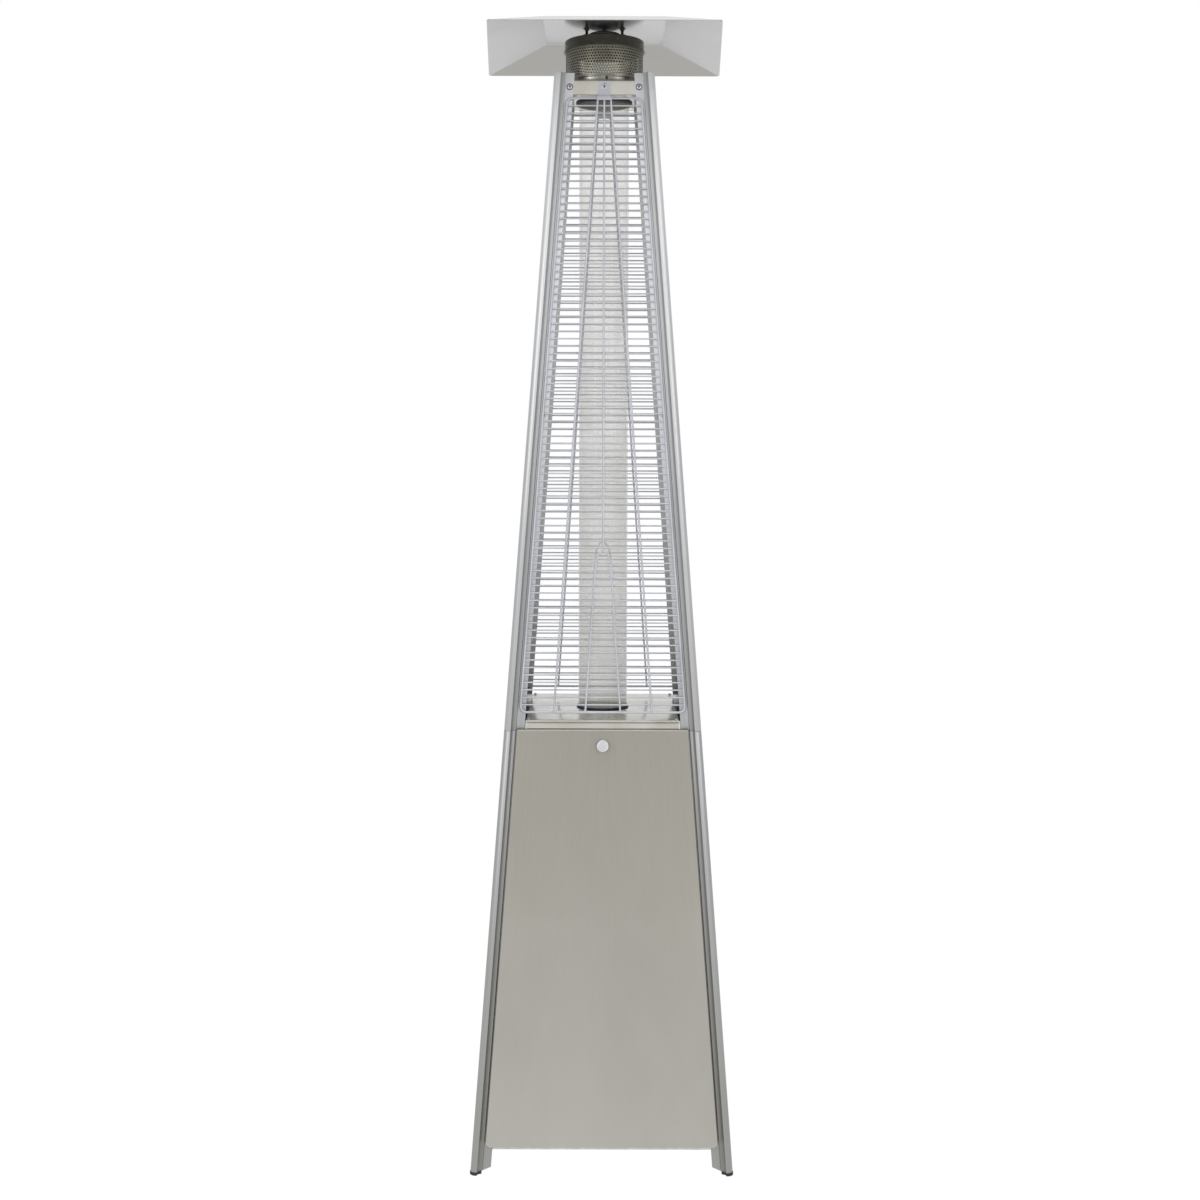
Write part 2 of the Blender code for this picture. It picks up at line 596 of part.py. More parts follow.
def make_controls():
    top = BOX_TOP - SHEET - GAP
    half_width = BOX_HALF_WIDTH - SHEET - GAP
    low = (-half_width, -CONTROL_PLANE, CONTROL_FOOT)
    high = (half_width, -CONTROL_PLANE + SHEET, top)
    board = add("control_panel", block(low, high), "black_enamel")
    holes = (("stem", KNOB_PLACE, STEM_RADIUS), ("button", BUTTON_PLACE, BUTTON_RADIUS))
    for name, x, radius in holes:
        hole = facing(rod(radius + 2 * GAP, -0.01, 0.01), x, -CONTROL_PLANE, CONTROL_HEIGHT)
        combine(board, "DIFFERENCE", add("board_hole_" + name, hole, "black_enamel"))

    valve_face = -CONTROL_PLANE + SHEET + GAP
    valve_foot = CONTROL_HEIGHT - VALVE_HEIGHT / 2
    half = VALVE_WIDTH / 2
    low = (KNOB_PLACE - half, valve_face, valve_foot)
    high = (KNOB_PLACE + half, valve_face + VALVE_DEPTH, valve_foot + VALVE_HEIGHT)
    valve = add("gas_valve", block(low, high), "zinc_steel")
    bore = facing(rod(STEM_RADIUS + GAP, -VALVE_BORE, 0.01), KNOB_PLACE, valve_face, CONTROL_HEIGHT)
    combine(valve, "DIFFERENCE", add("valve_bore", bore, "zinc_steel"))

    # The stem slides in the valve, and the knob turns on the stem.
    stem_inside = VALVE_BORE - STEM_TRAVEL - 2 * GAP
    knob_back = CONTROL_PLANE + STEM_TRAVEL + KNOB_STAND_OFF
    stem_front = knob_back + KNOB_SOCKET
    length = stem_front + valve_face + stem_inside
    stem = facing(rod(STEM_RADIUS, 0, length), KNOB_PLACE, valve_face + stem_inside, CONTROL_HEIGHT)
    add("valve_stem", stem, "zinc_steel", True)
    socket = STEM_RADIUS + GAP
    grip = CONTROL_KNOB_RADIUS - KNOB_SKIRT_STEP
    profile = [
        (socket, 0),
        (CONTROL_KNOB_RADIUS, 0),
        (CONTROL_KNOB_RADIUS, KNOB_SKIRT),
        (grip, KNOB_SKIRT * 1.5),
        (grip - KNOB_EDGE, CONTROL_KNOB_DEPTH - KNOB_EDGE),
        (grip - 2 * KNOB_EDGE, CONTROL_KNOB_DEPTH),
        (0, CONTROL_KNOB_DEPTH),
        (0, KNOB_SOCKET + GAP),
        (socket, KNOB_SOCKET + GAP),
    ]
    knob = facing(turned(profile, 28), KNOB_PLACE, -knob_back, CONTROL_HEIGHT)
    knob = add("control_knob", knob, "black_plastic", True)
    rib_front = -knob_back - CONTROL_KNOB_DEPTH - POINTER_RISE
    rib_back = -knob_back - KNOB_SOCKET - KNOB_EDGE
    rib_low = (KNOB_PLACE - POINTER_HALF, rib_front, CONTROL_HEIGHT - POINTER_RISE)
    rib_high = (KNOB_PLACE + POINTER_HALF, rib_back, CONTROL_HEIGHT + grip - 3 * KNOB_EDGE)
    combine(knob, "UNION", add("knob_pointer", block(rib_low, rib_high), "black_plastic"))

    profile = [
        (0, -CASING_DEPTH),
        (CASING_RADIUS, -CASING_DEPTH),
        (CASING_RADIUS, 0),
        (BUTTON_RADIUS + GAP, 0),
        (BUTTON_RADIUS + GAP, -CASING_WELL),
        (0, -CASING_WELL),
    ]
    body = facing(turned(profile, 28), BUTTON_PLACE, valve_face, CONTROL_HEIGHT)
    add("igniter_body", body, "black_plastic", True)
    front = CONTROL_PLANE + BUTTON_TRAVEL + BUTTON_OUT
    back = valve_face + CASING_WELL - BUTTON_TRAVEL - 2 * GAP
    button = rod(BUTTON_RADIUS, 0, front + back)
    add("igniter_button", facing(button, BUTTON_PLACE, back, CONTROL_HEIGHT), "black_plastic", True)

    low = (SWITCH_PLACE - SWITCH_HALF_WIDTH, valve_face, CONTROL_HEIGHT - SWITCH_HALF_HEIGHT)
    high_y = valve_face + SWITCH_DEPTH
    high = (SWITCH_PLACE + SWITCH_HALF_WIDTH, high_y, CONTROL_HEIGHT + SWITCH_HALF_HEIGHT)
    add("tilt_switch", block(low, high), "black_plastic")

    inlet_y = valve_face + VALVE_DEPTH / 2
    top = valve_foot - GAP
    nut_foot = top - INLET_NUT_HEIGHT
    profile = [(0, top - INLET_LENGTH), (BARB_ROOT, top - INLET_LENGTH)]
    for barb in range(1, HOSE_BARBS + 1):
        edge = top - INLET_LENGTH + BARB_PITCH * barb
        profile += [(BARB_TIP, edge - KNOB_EDGE / 2), (BARB_ROOT, edge)]
    profile += [(BARB_ROOT, nut_foot), (INLET_NUT_RADIUS, nut_foot)]
    profile += [(INLET_NUT_RADIUS, top), (0, top)]
    fitting = turned(profile, 20, (KNOB_PLACE, inlet_y, 0))
    add("gas_inlet_fitting", fitting, "brass", True)
    make_supply_pipe(valve_face + VALVE_DEPTH + GAP)


def make_supply_pipe(start):
    mixer_foot = MIXER_TOP - MIXER_LENGTH
    level = CONTROL_HEIGHT - PIPE_DROP
    bend = PIPE_BEND
    points = [(KNOB_PLACE, start, level)]
    # The pipe runs back to the depth of the axis, turns across to it and then turns up.
    for y, x in arc((-bend, KNOB_PLACE + bend), bend, -90, 0, 6):
        points.append((x, y, level))
    for x, z in arc((-bend, level + bend), bend, -90, 0, 6):
        points.append((x, 0, z))
    points.append((0, 0, mixer_foot + PIPE_RADIUS))
    curve = bpy.data.curves.new("supply_pipe", "CURVE")
    curve.dimensions = "3D"
    curve.bevel_depth = PIPE_RADIUS
    curve.bevel_resolution = 3
    curve.use_fill_caps = True
    spline = curve.splines.new("POLY")
    spline.points.add(len(points) - 1)
    for slot, point in zip(spline.points, points):
        slot.co = (*point, 1)
    curve.materials.append(paint("brass"))
    pipe = bpy.data.objects.new("supply_pipe", curve)
    bpy.context.collection.objects.link(pipe)


def make_glass():
    inner = GLASS_RADIUS - GLASS_WALL
    lip_top = DECK + GAP + SEAL_LIP
    wall = GLASS_RADIUS + GAP
    profile = [
        (inner - SEAL_REACH, DECK + GAP),
        (wall + RING_WALL, DECK + GAP),
        (wall + RING_WALL, DECK + GAP + SEAL_HEIGHT),
        (wall, DECK + GAP + SEAL_HEIGHT),
        (wall, lip_top),
        (inner - SEAL_REACH, lip_top),
    ]
    add("glass_seal_bottom", turned(profile, ROUND), "black_enamel", True)
    foot = lip_top + GAP
    head = SUPPORT_FOOT + GLASS_IN_HEAD
    profile = [(inner, foot), (GLASS_RADIUS, foot), (GLASS_RADIUS, head), (inner, head)]
    add("glass_tube", turned(profile, ROUND), "borosilicate_glass", True)
    plate_foot = SUPPORT_FOOT - GAP
    ring_foot = plate_foot - RING_DROP
    ring_top = SUPPORT_FOOT + 2 * SHEET
    side = wall + RING_WALL
    profile = [
        (wall, ring_foot),
        (side, ring_foot),
        (side + RING_COLLAR, ring_foot + RING_DROP / 3),
        (side + RING_COLLAR, plate_foot),
        (side, plate_foot),
        (side, ring_top),
        (wall, ring_top),
    ]
    add("glass_ring_top", turned(profile, ROUND), "black_enamel", True)


def make_head():
    support = square_pan("top_support", SUPPORT_FOOT, SUPPORT_TOP, "polished_steel")
    ring_hole = GLASS_RADIUS + GAP + RING_WALL + GAP
    hole = rod(ring_hole, SUPPORT_FOOT - 0.005, SUPPORT_FOOT + 0.005, segments=ROUND)
    combine(support, "DIFFERENCE", add("support_hole", hole, "polished_steel"))
    half = outer(PLATE_FOOT + SHEET) - SEAT
    plate = block((-half, -half, PLATE_FOOT), (half, half, PLATE_FOOT + SHEET))
    plate = add("head_plate", plate, "polished_steel")
    hole = rod(GLASS_RADIUS + PLATE_MARGIN, PLATE_FOOT - 0.005, PLATE_FOOT + 0.005, segments=ROUND)
    combine(plate, "DIFFERENCE", add("plate_hole", hole, "polished_steel"))
    screen_inner = SCREEN_RADIUS - SCREEN_WALL
    neck_top = NECK_FOOT + NECK_HEIGHT
    neck = SCREEN_RADIUS - SCREEN_WALL / 2
    profile = [
        (neck - NECK_WALL, NECK_FOOT),
        (neck, NECK_FOOT),
        (neck, neck_top - NECK_FLARE_HEIGHT),
        (neck + NECK_FLARE, neck_top),
        (neck - NECK_WALL, neck_top),
    ]
    add("screen_neck", turned(profile, ROUND), "polished_steel", True)
    screen_top = SCREEN_FOOT + SCREEN_HEIGHT
    profile = [
        (screen_inner, SCREEN_FOOT),
        (SCREEN_RADIUS, SCREEN_FOOT),
        (SCREEN_RADIUS, screen_top),
        (screen_inner, screen_top),
    ]
    add("flame_screen", turned(profile, ROUND), "burnt_steel", True)
    band = CAP_LIP - CAP_BEAD
    bead_top = CAP_FOOT + CAP_BEAD
    band_top = CAP_FOOT + CAP_BAND
    cone_top = band_top + CAP_CONE
    profile = [
        (screen_inner, CAP_FOOT),
        (CAP_LIP, CAP_FOOT),
        (band, bead_top),
        (band, band_top),
        (CAP_TOP_RADIUS, cone_top),
        (CAP_HOLE, cone_top),
        (CAP_HOLE, cone_top - SHEET),
        (CAP_TOP_RADIUS, cone_top - SHEET),
        (band - SHEET, band_top - SHEET),
        (band - SHEET, bead_top),
        (screen_inner, bead_top),
    ]
    add("screen_cap", turned(profile, ROUND), "burnt_steel", True)
    disc = rod(DISC_RADIUS, STUD_FOOT, STUD_FOOT + DISC_THICK, segments=ROUND)
    add("cap_disc", disc, "stud_steel", True)


def stud_places():
    places = []
    for angle in (90, 210, 330):
        turn = math.radians(angle)
        places.append((STUD_CIRCLE * math.cos(turn), STUD_CIRCLE * math.sin(turn)))
    return places


def make_studs():
    nut_top = REFLECTOR_PLANE - GAP
    nut_foot = nut_top - STUD_NUT_HEIGHT
    stud_top = STUD_FOOT + STUD_LENGTH
    for name, place in zip(("rear", "front_left", "front_right"), stud_places()):
        profile = [
            (0, STUD_FOOT),
            (STUD_RADIUS, STUD_FOOT),
            (STUD_RADIUS, nut_foot),
            (STUD_NUT_RADIUS, nut_foot),
            (STUD_NUT_RADIUS, nut_top),
            (STUD_RADIUS, nut_top),
            (STUD_RADIUS, stud_top),
            (0, stud_top),
        ]
        add("reflector_stud_" + name, turned(profile, 16, (*place, 0)), "stud_steel", True)


def make_reflector():
    rim_z = REFLECTOR_PLANE - REFLECTOR_DROP
    corners = (
        (-REFLECTOR_FRONT_HALF, -REFLECTOR_DEPTH_HALF, 180),
        (REFLECTOR_FRONT_HALF, -REFLECTOR_DEPTH_HALF, 270),
        (REFLECTOR_BACK_HALF, REFLECTOR_DEPTH_HALF, 0),
        (-REFLECTOR_BACK_HALF, REFLECTOR_DEPTH_HALF, 90),
    )
    half = REFLECTOR_FLAT_HALF
    bm = bmesh.new()
    square = ((-half, -half), (half, -half), (half, half), (-half, half))
    flat = [bm.verts.new((x, y, REFLECTOR_PLANE)) for x, y in square]
    rim = []
    for x, y, start in corners:
        centre = (x - math.copysign(REFLECTOR_CORNER, x), y - math.copysign(REFLECTOR_CORNER, y))
        points = arc(centre, REFLECTOR_CORNER, start, start + 90, 4)
        rim.append([bm.verts.new((px, py, rim_z)) for px, py in points])
    bm.faces.new(flat)
    for index in range(4):
        following = (index + 1) % 4
        bm.faces.new((flat[index], flat[following], rim[following][0], rim[index][-1]))
        for step in range(4):
            bm.faces.new((flat[index], rim[index][step + 1], rim[index][step]))
    hood = add("reflector", bm, "reflector_aluminium")
    sheet = hood.modifiers.new("sheet", "SOLIDIFY")
    sheet.thickness = SHEET
    sheet.offset = 1
    sheet.use_even_offset = True
    low = REFLECTOR_PLANE - 0.005
    high = REFLECTOR_PLANE + 0.005
    for index, place in enumerate(stud_places()):
        hole = rod(STUD_RADIUS + GAP, low, high, place, 16)
        combine(hood, "DIFFERENCE", add(f"reflector_hole_{index}", hole, "stud_steel"))


# A flat lattice of frame, uprights and cross bars: cells between bars stay open.
def guard_lattice():
    heights = [GUARD_FOOT, GUARD_FOOT + GUARD_WIRE]
    pitch = (GUARD_TOP - GUARD_FOOT - GUARD_WIRE) / (GUARD_BARS + 1)
    for bar in range(1, GUARD_BARS + 1):
        middle = GUARD_FOOT + GUARD_WIRE / 2 + bar * pitch
        heights += [middle - GUARD_CROSS / 2, middle + GUARD_CROSS / 2]
    heights += [GUARD_TOP - GUARD_WIRE, GUARD_TOP]

    def stations(z):
        edge = outer(z) - GUARD_EDGE
        share = (z - GUARD_FOOT) / (GUARD_TOP - GUARD_FOOT)
        upright = GUARD_UPRIGHT_FOOT + share * (GUARD_UPRIGHT_TOP - GUARD_UPRIGHT_FOOT)
        half = GUARD_CROSS / 2
        right = [half, upright - half, upright + half, edge - GUARD_WIRE, edge]
        return [-x for x in reversed(right)] + right

    bm = bmesh.new()
    grid = []
    for z in heights:
        y = GUARD_DEPTH - outer(z)
        grid.append([bm.verts.new((x, y, z)) for x in stations(z)])
    for row in range(len(grid) - 1):
        for column in range(len(grid[0]) - 1):
            if row % 2 == 0 or column % 2 == 0:
                low = grid[row]
                high = grid[row + 1]
                bm.faces.new((low[column], low[column + 1], high[column + 1], high[column]))
    extruded = bmesh.ops.extrude_face_region(bm, geom=bm.faces[:])
    moved = [item for item in extruded["geom"] if isinstance(item, bmesh.types.BMVert)]
    bmesh.ops.translate(bm, vec=(0, GUARD_WIRE, 0), verts=moved)
    return bm


def clip_shape():
    hook_top = GUARD_TOP + GAP + SHEET
    near = GUARD_DEPTH - GAP - SHEET
    profile = [
        (FLANGE_BACK, SUPPORT_TOP),
        (FLANGE_BACK, GUARD_TOP + GAP),
        (near + SHEET, GUARD_TOP + GAP),
        (near + SHEET, GUARD_TOP - CLIP_HOOK),
        (near, GUARD_TOP - CLIP_HOOK),
        (near, hook_top),
        (FLANGE_BACK - SHEET, hook_top),
        (FLANGE_BACK - SHEET, SUPPORT_TOP),
    ]
    drop = SUPPORT_TOP - GUARD_TOP + CLIP_HOOK
    left = []
    right = []
    for depth, z in profile:
        share = (SUPPORT_TOP - z) / drop
        half = CLIP_TOP_HALF + share * (CLIP_FOOT_HALF - CLIP_TOP_HALF)
        left.append((-half, depth - outer(z), z))
        right.append((half, depth - outer(z), z))
    return loft(left, right)


def make_guards():
    for side, angle in SIDES.items():
        guard = add("guard_" + side, guard_lattice(), "guard_paint")
        clip = add("guard_clip_" + side, clip_shape(), "guard_paint")
        for obj in (guard, clip):
            obj.rotation_euler.z = math.radians(angle)


def main():
    for obj in list(bpy.data.objects):
        bpy.data.objects.remove(obj, do_unlink=True)
    make_legs()
    make_housing()
    make_burner_box()
    make_deck()
    make_burner()
    make_controls()
    make_glass()
    make_head()
    make_studs()
    make_reflector()
    make_guards()


main()
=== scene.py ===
import math

import bmesh
import bpy
from mathutils import Matrix, Vector


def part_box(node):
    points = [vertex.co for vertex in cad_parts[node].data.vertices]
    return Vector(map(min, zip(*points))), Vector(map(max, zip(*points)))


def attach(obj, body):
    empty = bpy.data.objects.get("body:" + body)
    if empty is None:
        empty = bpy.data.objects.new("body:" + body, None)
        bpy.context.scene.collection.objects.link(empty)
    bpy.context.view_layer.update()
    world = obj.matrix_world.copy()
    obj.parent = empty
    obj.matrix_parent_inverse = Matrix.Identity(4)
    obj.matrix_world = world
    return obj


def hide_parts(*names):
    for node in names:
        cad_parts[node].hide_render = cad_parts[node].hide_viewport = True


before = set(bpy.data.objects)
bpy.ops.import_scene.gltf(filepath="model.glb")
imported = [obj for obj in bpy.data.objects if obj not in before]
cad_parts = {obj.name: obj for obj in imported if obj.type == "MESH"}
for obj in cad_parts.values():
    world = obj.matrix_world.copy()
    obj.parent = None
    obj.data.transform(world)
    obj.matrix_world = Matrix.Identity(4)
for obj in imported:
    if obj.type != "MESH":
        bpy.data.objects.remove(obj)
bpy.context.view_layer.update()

# Square pyramid gas heater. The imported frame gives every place; each piece's own sizes sit beside its code.
sideAngle = {"front": 0, "right": 90, "rear": 180, "left": 270}
cornerSigns = {"front_left": (-1, -1), "front_right": (1, -1), "rear_left": (-1, 1), "rear_right": (1, 1)}
fit = 0.0003  # air between pieces that touch
touch = 1e-5  # places closer than this are the same

post = {
    "noseRadius": 0.012,
    "noseFlat": 0.0015,
    "fluteRadius": 0.0093,
    "flangeFace": 0.013,
    "flangeThick": 0.0025,
    "flangeStart": 0.024,
    "flangeEnd": 0.040,
    "flangeCut": 0.007,
    "lipRound": 0.0006,
}

legLow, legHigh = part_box("upper_leg_front_left")
splitHalf = -legLow.x
splitHeight = legLow.z
legTop = legHigh.z
topHalf = post["flangeEnd"] - legHigh.x
lean = (splitHalf - topHalf) / (legTop - splitHeight)
floorHalf = splitHalf + lean * splitHeight
flangeBack = post["flangeFace"] + post["flangeThick"]


def outerHalf(z):
    return floorHalf - lean * z


# ---- camera, floor and light

view = {"lens": 51.75, "pitch": 5.3, "roll": 0.15, "place": (-0.006, -3.5437, 1.4462)}
cameraData = bpy.data.cameras.new("camera")
cameraData.lens = view["lens"]
cameraData.sensor_width = 36.0
camera = bpy.data.objects.new("camera", cameraData)
camera.location = view["place"]
level = Matrix.Rotation(math.radians(90 - view["pitch"]), 3, "X")
camera.rotation_euler = (level @ Matrix.Rotation(math.radians(view["roll"]), 3, "Z")).to_euler()
bpy.context.collection.objects.link(camera)
bpy.context.scene.camera = camera

studio = {
    "floorSize": 60.0,
    "floorColour": (0.02, 0.02, 0.02, 1),
    "floorGlow": (1.0, 1.0, 1.0, 1),
    "skyColour": (1.0, 1.0, 1.0, 1),
    "sideColour": (0.50, 0.50, 0.51, 1),
    "skyStrength": 1.0,
    "sideStart": 0.62,
    "sideEnd": 0.95,
}


def makeFloor():
    bm = bmesh.new()
    bmesh.ops.create_grid(bm, x_segments=1, y_segments=1, size=studio["floorSize"] / 2)
    mesh = bpy.data.meshes.new("studioFloor")
    bm.to_mesh(mesh)
    bm.free()
    paint = bpy.data.materials.new("studioFloor")
    paint.use_nodes = True
    shader = paint.node_tree.nodes["Principled BSDF"]
    shader.inputs["Base Color"].default_value = studio["floorColour"]
    shader.inputs["Roughness"].default_value = 0.9
    shader.inputs["Specular IOR Level"].default_value = 0.0
    shader.inputs["Emission Color"].default_value = studio["floorGlow"]
    shader.inputs["Emission Strength"].default_value = 1.0
    mesh.materials.append(paint)
    floor = bpy.data.objects.new("studioFloor", mesh)
    floor.location.z = -0.0005
    bpy.context.collection.objects.link(floor)


def makeSky():
    world = bpy.data.worlds.new("studio")
    world.use_nodes = True
    bpy.context.scene.world = world
    tree = world.node_tree
    background = tree.nodes["Background"]
    place = tree.nodes.new("ShaderNodeTexCoord")
    parts = tree.nodes.new("ShaderNodeSeparateXYZ")
    tree.links.new(place.outputs["Generated"], parts.inputs["Vector"])
    across = tree.nodes.new("ShaderNodeMath")
    across.operation = "ABSOLUTE"
    tree.links.new(parts.outputs["X"], across.inputs[0])
    ramp = tree.nodes.new("ShaderNodeMapRange")
    ramp.interpolation_type = "SMOOTHSTEP"
    ramp.inputs["From Min"].default_value = studio["sideStart"]
    ramp.inputs["From Max"].default_value = studio["sideEnd"]
    tree.links.new(across.outputs[0], ramp.inputs["Value"])
    blend = tree.nodes.new("ShaderNodeMix")
    blend.data_type = "RGBA"
    blend.inputs["A"].default_value = studio["skyColour"]
    blend.inputs["B"].default_value = studio["sideColour"]
    tree.links.new(ramp.outputs["Result"], blend.inputs["Factor"])
    tree.links.new(blend.outputs["Result"], background.inputs["Color"])
    background.inputs["Strength"].default_value = studio["skyStrength"]


def softbox(name, place, aim, size, power):
    lamp = bpy.data.lights.new(name, "AREA")
    lamp.shape = "RECTANGLE"
    lamp.size, lamp.size_y = size
    lamp.energy = power
    box = bpy.data.objects.new(name, lamp)
    box.location = place
    box.rotation_euler = (Vector(aim) - Vector(place)).to_track_quat("-Z", "Y").to_euler()
    bpy.context.collection.objects.link(box)
    box.visible_camera = False


makeFloor()
makeSky()
softbox("softboxTop", (0, -0.6, 5.2), (0, 0, 0.9), (3.0, 3.0), 60)
softbox("softboxLeft", (-3.2, -3.6, 2.6), (0, 0, 1.2), (1.4, 2.6), 38)
softbox("softboxRight", (3.2, -3.6, 2.6), (0, 0, 1.2), (1.4, 2.6), 32)
bpy.context.scene.view_settings.view_transform = "Standard"
print("studio ready")


# ---- finishes


def startCoat(slotName):
    paint = bpy.data.materials.new(slotName + "_finish")
    paint.use_nodes = True
    tree = paint.node_tree
    return paint, tree, tree.nodes["Principled BSDF"]


# Noise over object coordinates; stretch gives the scale along x, y and z.
def grain(tree, scale, stretch=(1, 1, 1), detail=3.0, rough=0.55, source=None):
    if source is None:
        source = tree.nodes.new("ShaderNodeTexCoord").outputs["Object"]
    mapping = tree.nodes.new("ShaderNodeMapping")
    mapping.inputs["Scale"].default_value = stretch
    tree.links.new(source, mapping.inputs["Vector"])
    noise = tree.nodes.new("ShaderNodeTexNoise")
    noise.inputs["Scale"].default_value = scale
    noise.inputs["Detail"].default_value = detail
    noise.inputs["Roughness"].default_value = rough
    tree.links.new(mapping.outputs["Vector"], noise.inputs["Vector"])
    return noise.outputs["Fac"]


def ramped(tree, value, low, high, toLow, toHigh):
    node = tree.nodes.new("ShaderNodeMapRange")
    node.inputs["From Min"].default_value = low
    node.inputs["From Max"].default_value = high
    node.inputs["To Min"].default_value = toLow
    node.inputs["To Max"].default_value = toHigh
    tree.links.new(value, node.inputs["Value"])
    return node.outputs["Result"]


def mixed(tree, factor, first, second):
    node = tree.nodes.new("ShaderNodeMix")
    node.data_type = "RGBA"
    for socket, colour in (("A", first), ("B", second)):
        if isinstance(colour, tuple):
            node.inputs[socket].default_value = (*colour, 1)
        else:
            tree.links.new(colour, node.inputs[socket])
    tree.links.new(factor, node.inputs["Factor"])
    return node.outputs["Result"]


def calc(tree, operation, first, second=0.0):
    node = tree.nodes.new("ShaderNodeMath")
    node.operation = operation
    for index, value in enumerate((first, second)):
        if isinstance(value, (int, float)):
            node.inputs[index].default_value = value
        else:
            tree.links.new(value, node.inputs[index])
    return node.outputs[0]


def relief(tree, shader, height, strength, distance):
    bump = tree.nodes.new("ShaderNodeBump")
    bump.inputs["Strength"].default_value = strength
    bump.inputs["Distance"].default_value = distance
    tree.links.new(height, bump.inputs["Height"])
    tree.links.new(bump.outputs["Normal"], shader.inputs["Normal"])


def objectParts(tree):
    place = tree.nodes.new("ShaderNodeTexCoord")
    parts = tree.nodes.new("ShaderNodeSeparateXYZ")
    tree.links.new(place.outputs["Object"], parts.inputs["Vector"])
    return parts.outputs["X"], parts.outputs["Y"], parts.outputs["Z"]


# Coordinates that run straight along a leaning post: distance from the axis at floor level, both ways.
def alongPost(tree):
    x, y, z = objectParts(tree)
    rise = calc(tree, "MULTIPLY", z, lean)
    across = calc(tree, "ADD", calc(tree, "ABSOLUTE", x), rise)
    deep = calc(tree, "ADD", calc(tree, "ABSOLUTE", y), rise)
    join = tree.nodes.new("ShaderNodeCombineXYZ")
    tree.links.new(across, join.inputs["X"])
    tree.links.new(deep, join.inputs["Y"])
    tree.links.new(z, join.inputs["Z"])
    return join.outputs["Vector"]


def makeLegAluminium():
    look = {
        "bright": (0.49, 0.50, 0.51),
        "dull": (0.43, 0.435, 0.445),
        "patch": (0.38, 0.385, 0.39),
        # painted shade near the floor
        "low": (0.27, 0.268, 0.245),
        # painted light at the top
        "head": (0.72, 0.73, 0.74),
        # the two flute tones are painted shade
        "flute": (0.25, 0.25, 0.245),
        "fluteShadeLow": (0.14, 0.136, 0.118),
        "lineScale": 950,
        "cloud": 9,
    }
    paint, tree, shader = startCoat("leg_aluminium")
    straight = alongPost(tree)
    lines = grain(tree, look["lineScale"], (1, 1, 0.0016), 2.0, source=straight)
    cloud = grain(tree, look["cloud"], (1, 1, 0.35), 3.0)
    tone = mixed(tree, ramped(tree, lines, 0.35, 0.68, 0, 1), look["dull"], look["bright"])
    tone = mixed(tree, ramped(tree, cloud, 0.4, 0.75, 0, 0.25), tone, look["patch"])
    parts = tree.nodes.new("ShaderNodeSeparateXYZ")
    tree.links.new(straight, parts.inputs["Vector"])
    # Darker towards the floor: painted shade, a painted dark reflection low on the posts.
    lowShade = ramped(tree, parts.outputs["Z"], 0.15, 1.15, 0.75, 0.0)
    tone = mixed(tree, lowShade, tone, look["low"])
    # Lighter towards the top: painted light on the post heads under the hood.
    tone = mixed(tree, ramped(tree, parts.outputs["Z"], 1.2, 2.1, 0.0, 0.85), tone, look["head"])
    # How far in from the outer corner: the flute gets painted shade, darker low down.
    inward = calc(tree, "SUBTRACT", floorHalf, calc(tree, "MINIMUM", parts.outputs["X"], parts.outputs["Y"]))
    rise = ramped(tree, inward, 0.0125, 0.0165, 0, 1)
    fall = ramped(tree, inward, 0.0215, 0.0238, 1, 0)
    shade = mixed(tree, lowShade, look["flute"], look["fluteShadeLow"])
    tone = mixed(tree, calc(tree, "MULTIPLY", calc(tree, "MULTIPLY", rise, fall), 0.6), tone, shade)
    tree.links.new(tone, shader.inputs["Base Color"])
    tree.links.new(ramped(tree, cloud, 0.3, 0.7, 0.40, 0.50), shader.inputs["Roughness"])
    shader.inputs["Metallic"].default_value = 0.75
    relief(tree, shader, lines, 0.08, 0.0002)
    return paint


def makeBrushedSteel():
    look = {
        "warm": (0.306, 0.291, 0.256),
        "cool": (0.362, 0.347, 0.311),
        "low": (0.49, 0.482, 0.44),
        "stain": (0.285, 0.273, 0.24),
        "brush": 900,
        "blotch": 5,
    }
    paint, tree, shader = startCoat("brushed_steel")
    straight = alongPost(tree)
    brush = grain(tree, look["brush"], (1, 1, 0.012), 4.0, 0.7, source=straight)
    fine = grain(tree, look["brush"] * 2.6, (1, 1, 0.02), 2.0, source=straight)
    blotch = grain(tree, look["blotch"], (1, 1, 0.5), 4.0, 0.6)
    height = objectParts(tree)[2]
    tone = mixed(tree, ramped(tree, brush, 0.3, 0.72, 0.15, 0.85), look["warm"], look["cool"])
    tone = mixed(tree, ramped(tree, height, 0.05, 0.88, 0.70, 0.0), tone, look["low"])
    tone = mixed(tree, ramped(tree, blotch, 0.42, 0.72, 0.0, 0.22), tone, look["stain"])
    tree.links.new(tone, shader.inputs["Base Color"])
    rough = ramped(tree, brush, 0.3, 0.7, 0.30, 0.40)
    rough = calc(tree, "ADD", rough, ramped(tree, blotch, 0.3, 0.7, -0.03, 0.04))
    tree.links.new(rough, shader.inputs["Roughness"])
    shader.inputs["Metallic"].default_value = 1.0
    shader.inputs["Anisotropic"].default_value = 0.35
    ridges = calc(tree, "ADD", brush, calc(tree, "MULTIPLY", fine, 0.5))
    relief(tree, shader, ridges, 0.12, 0.0002)
    return paint


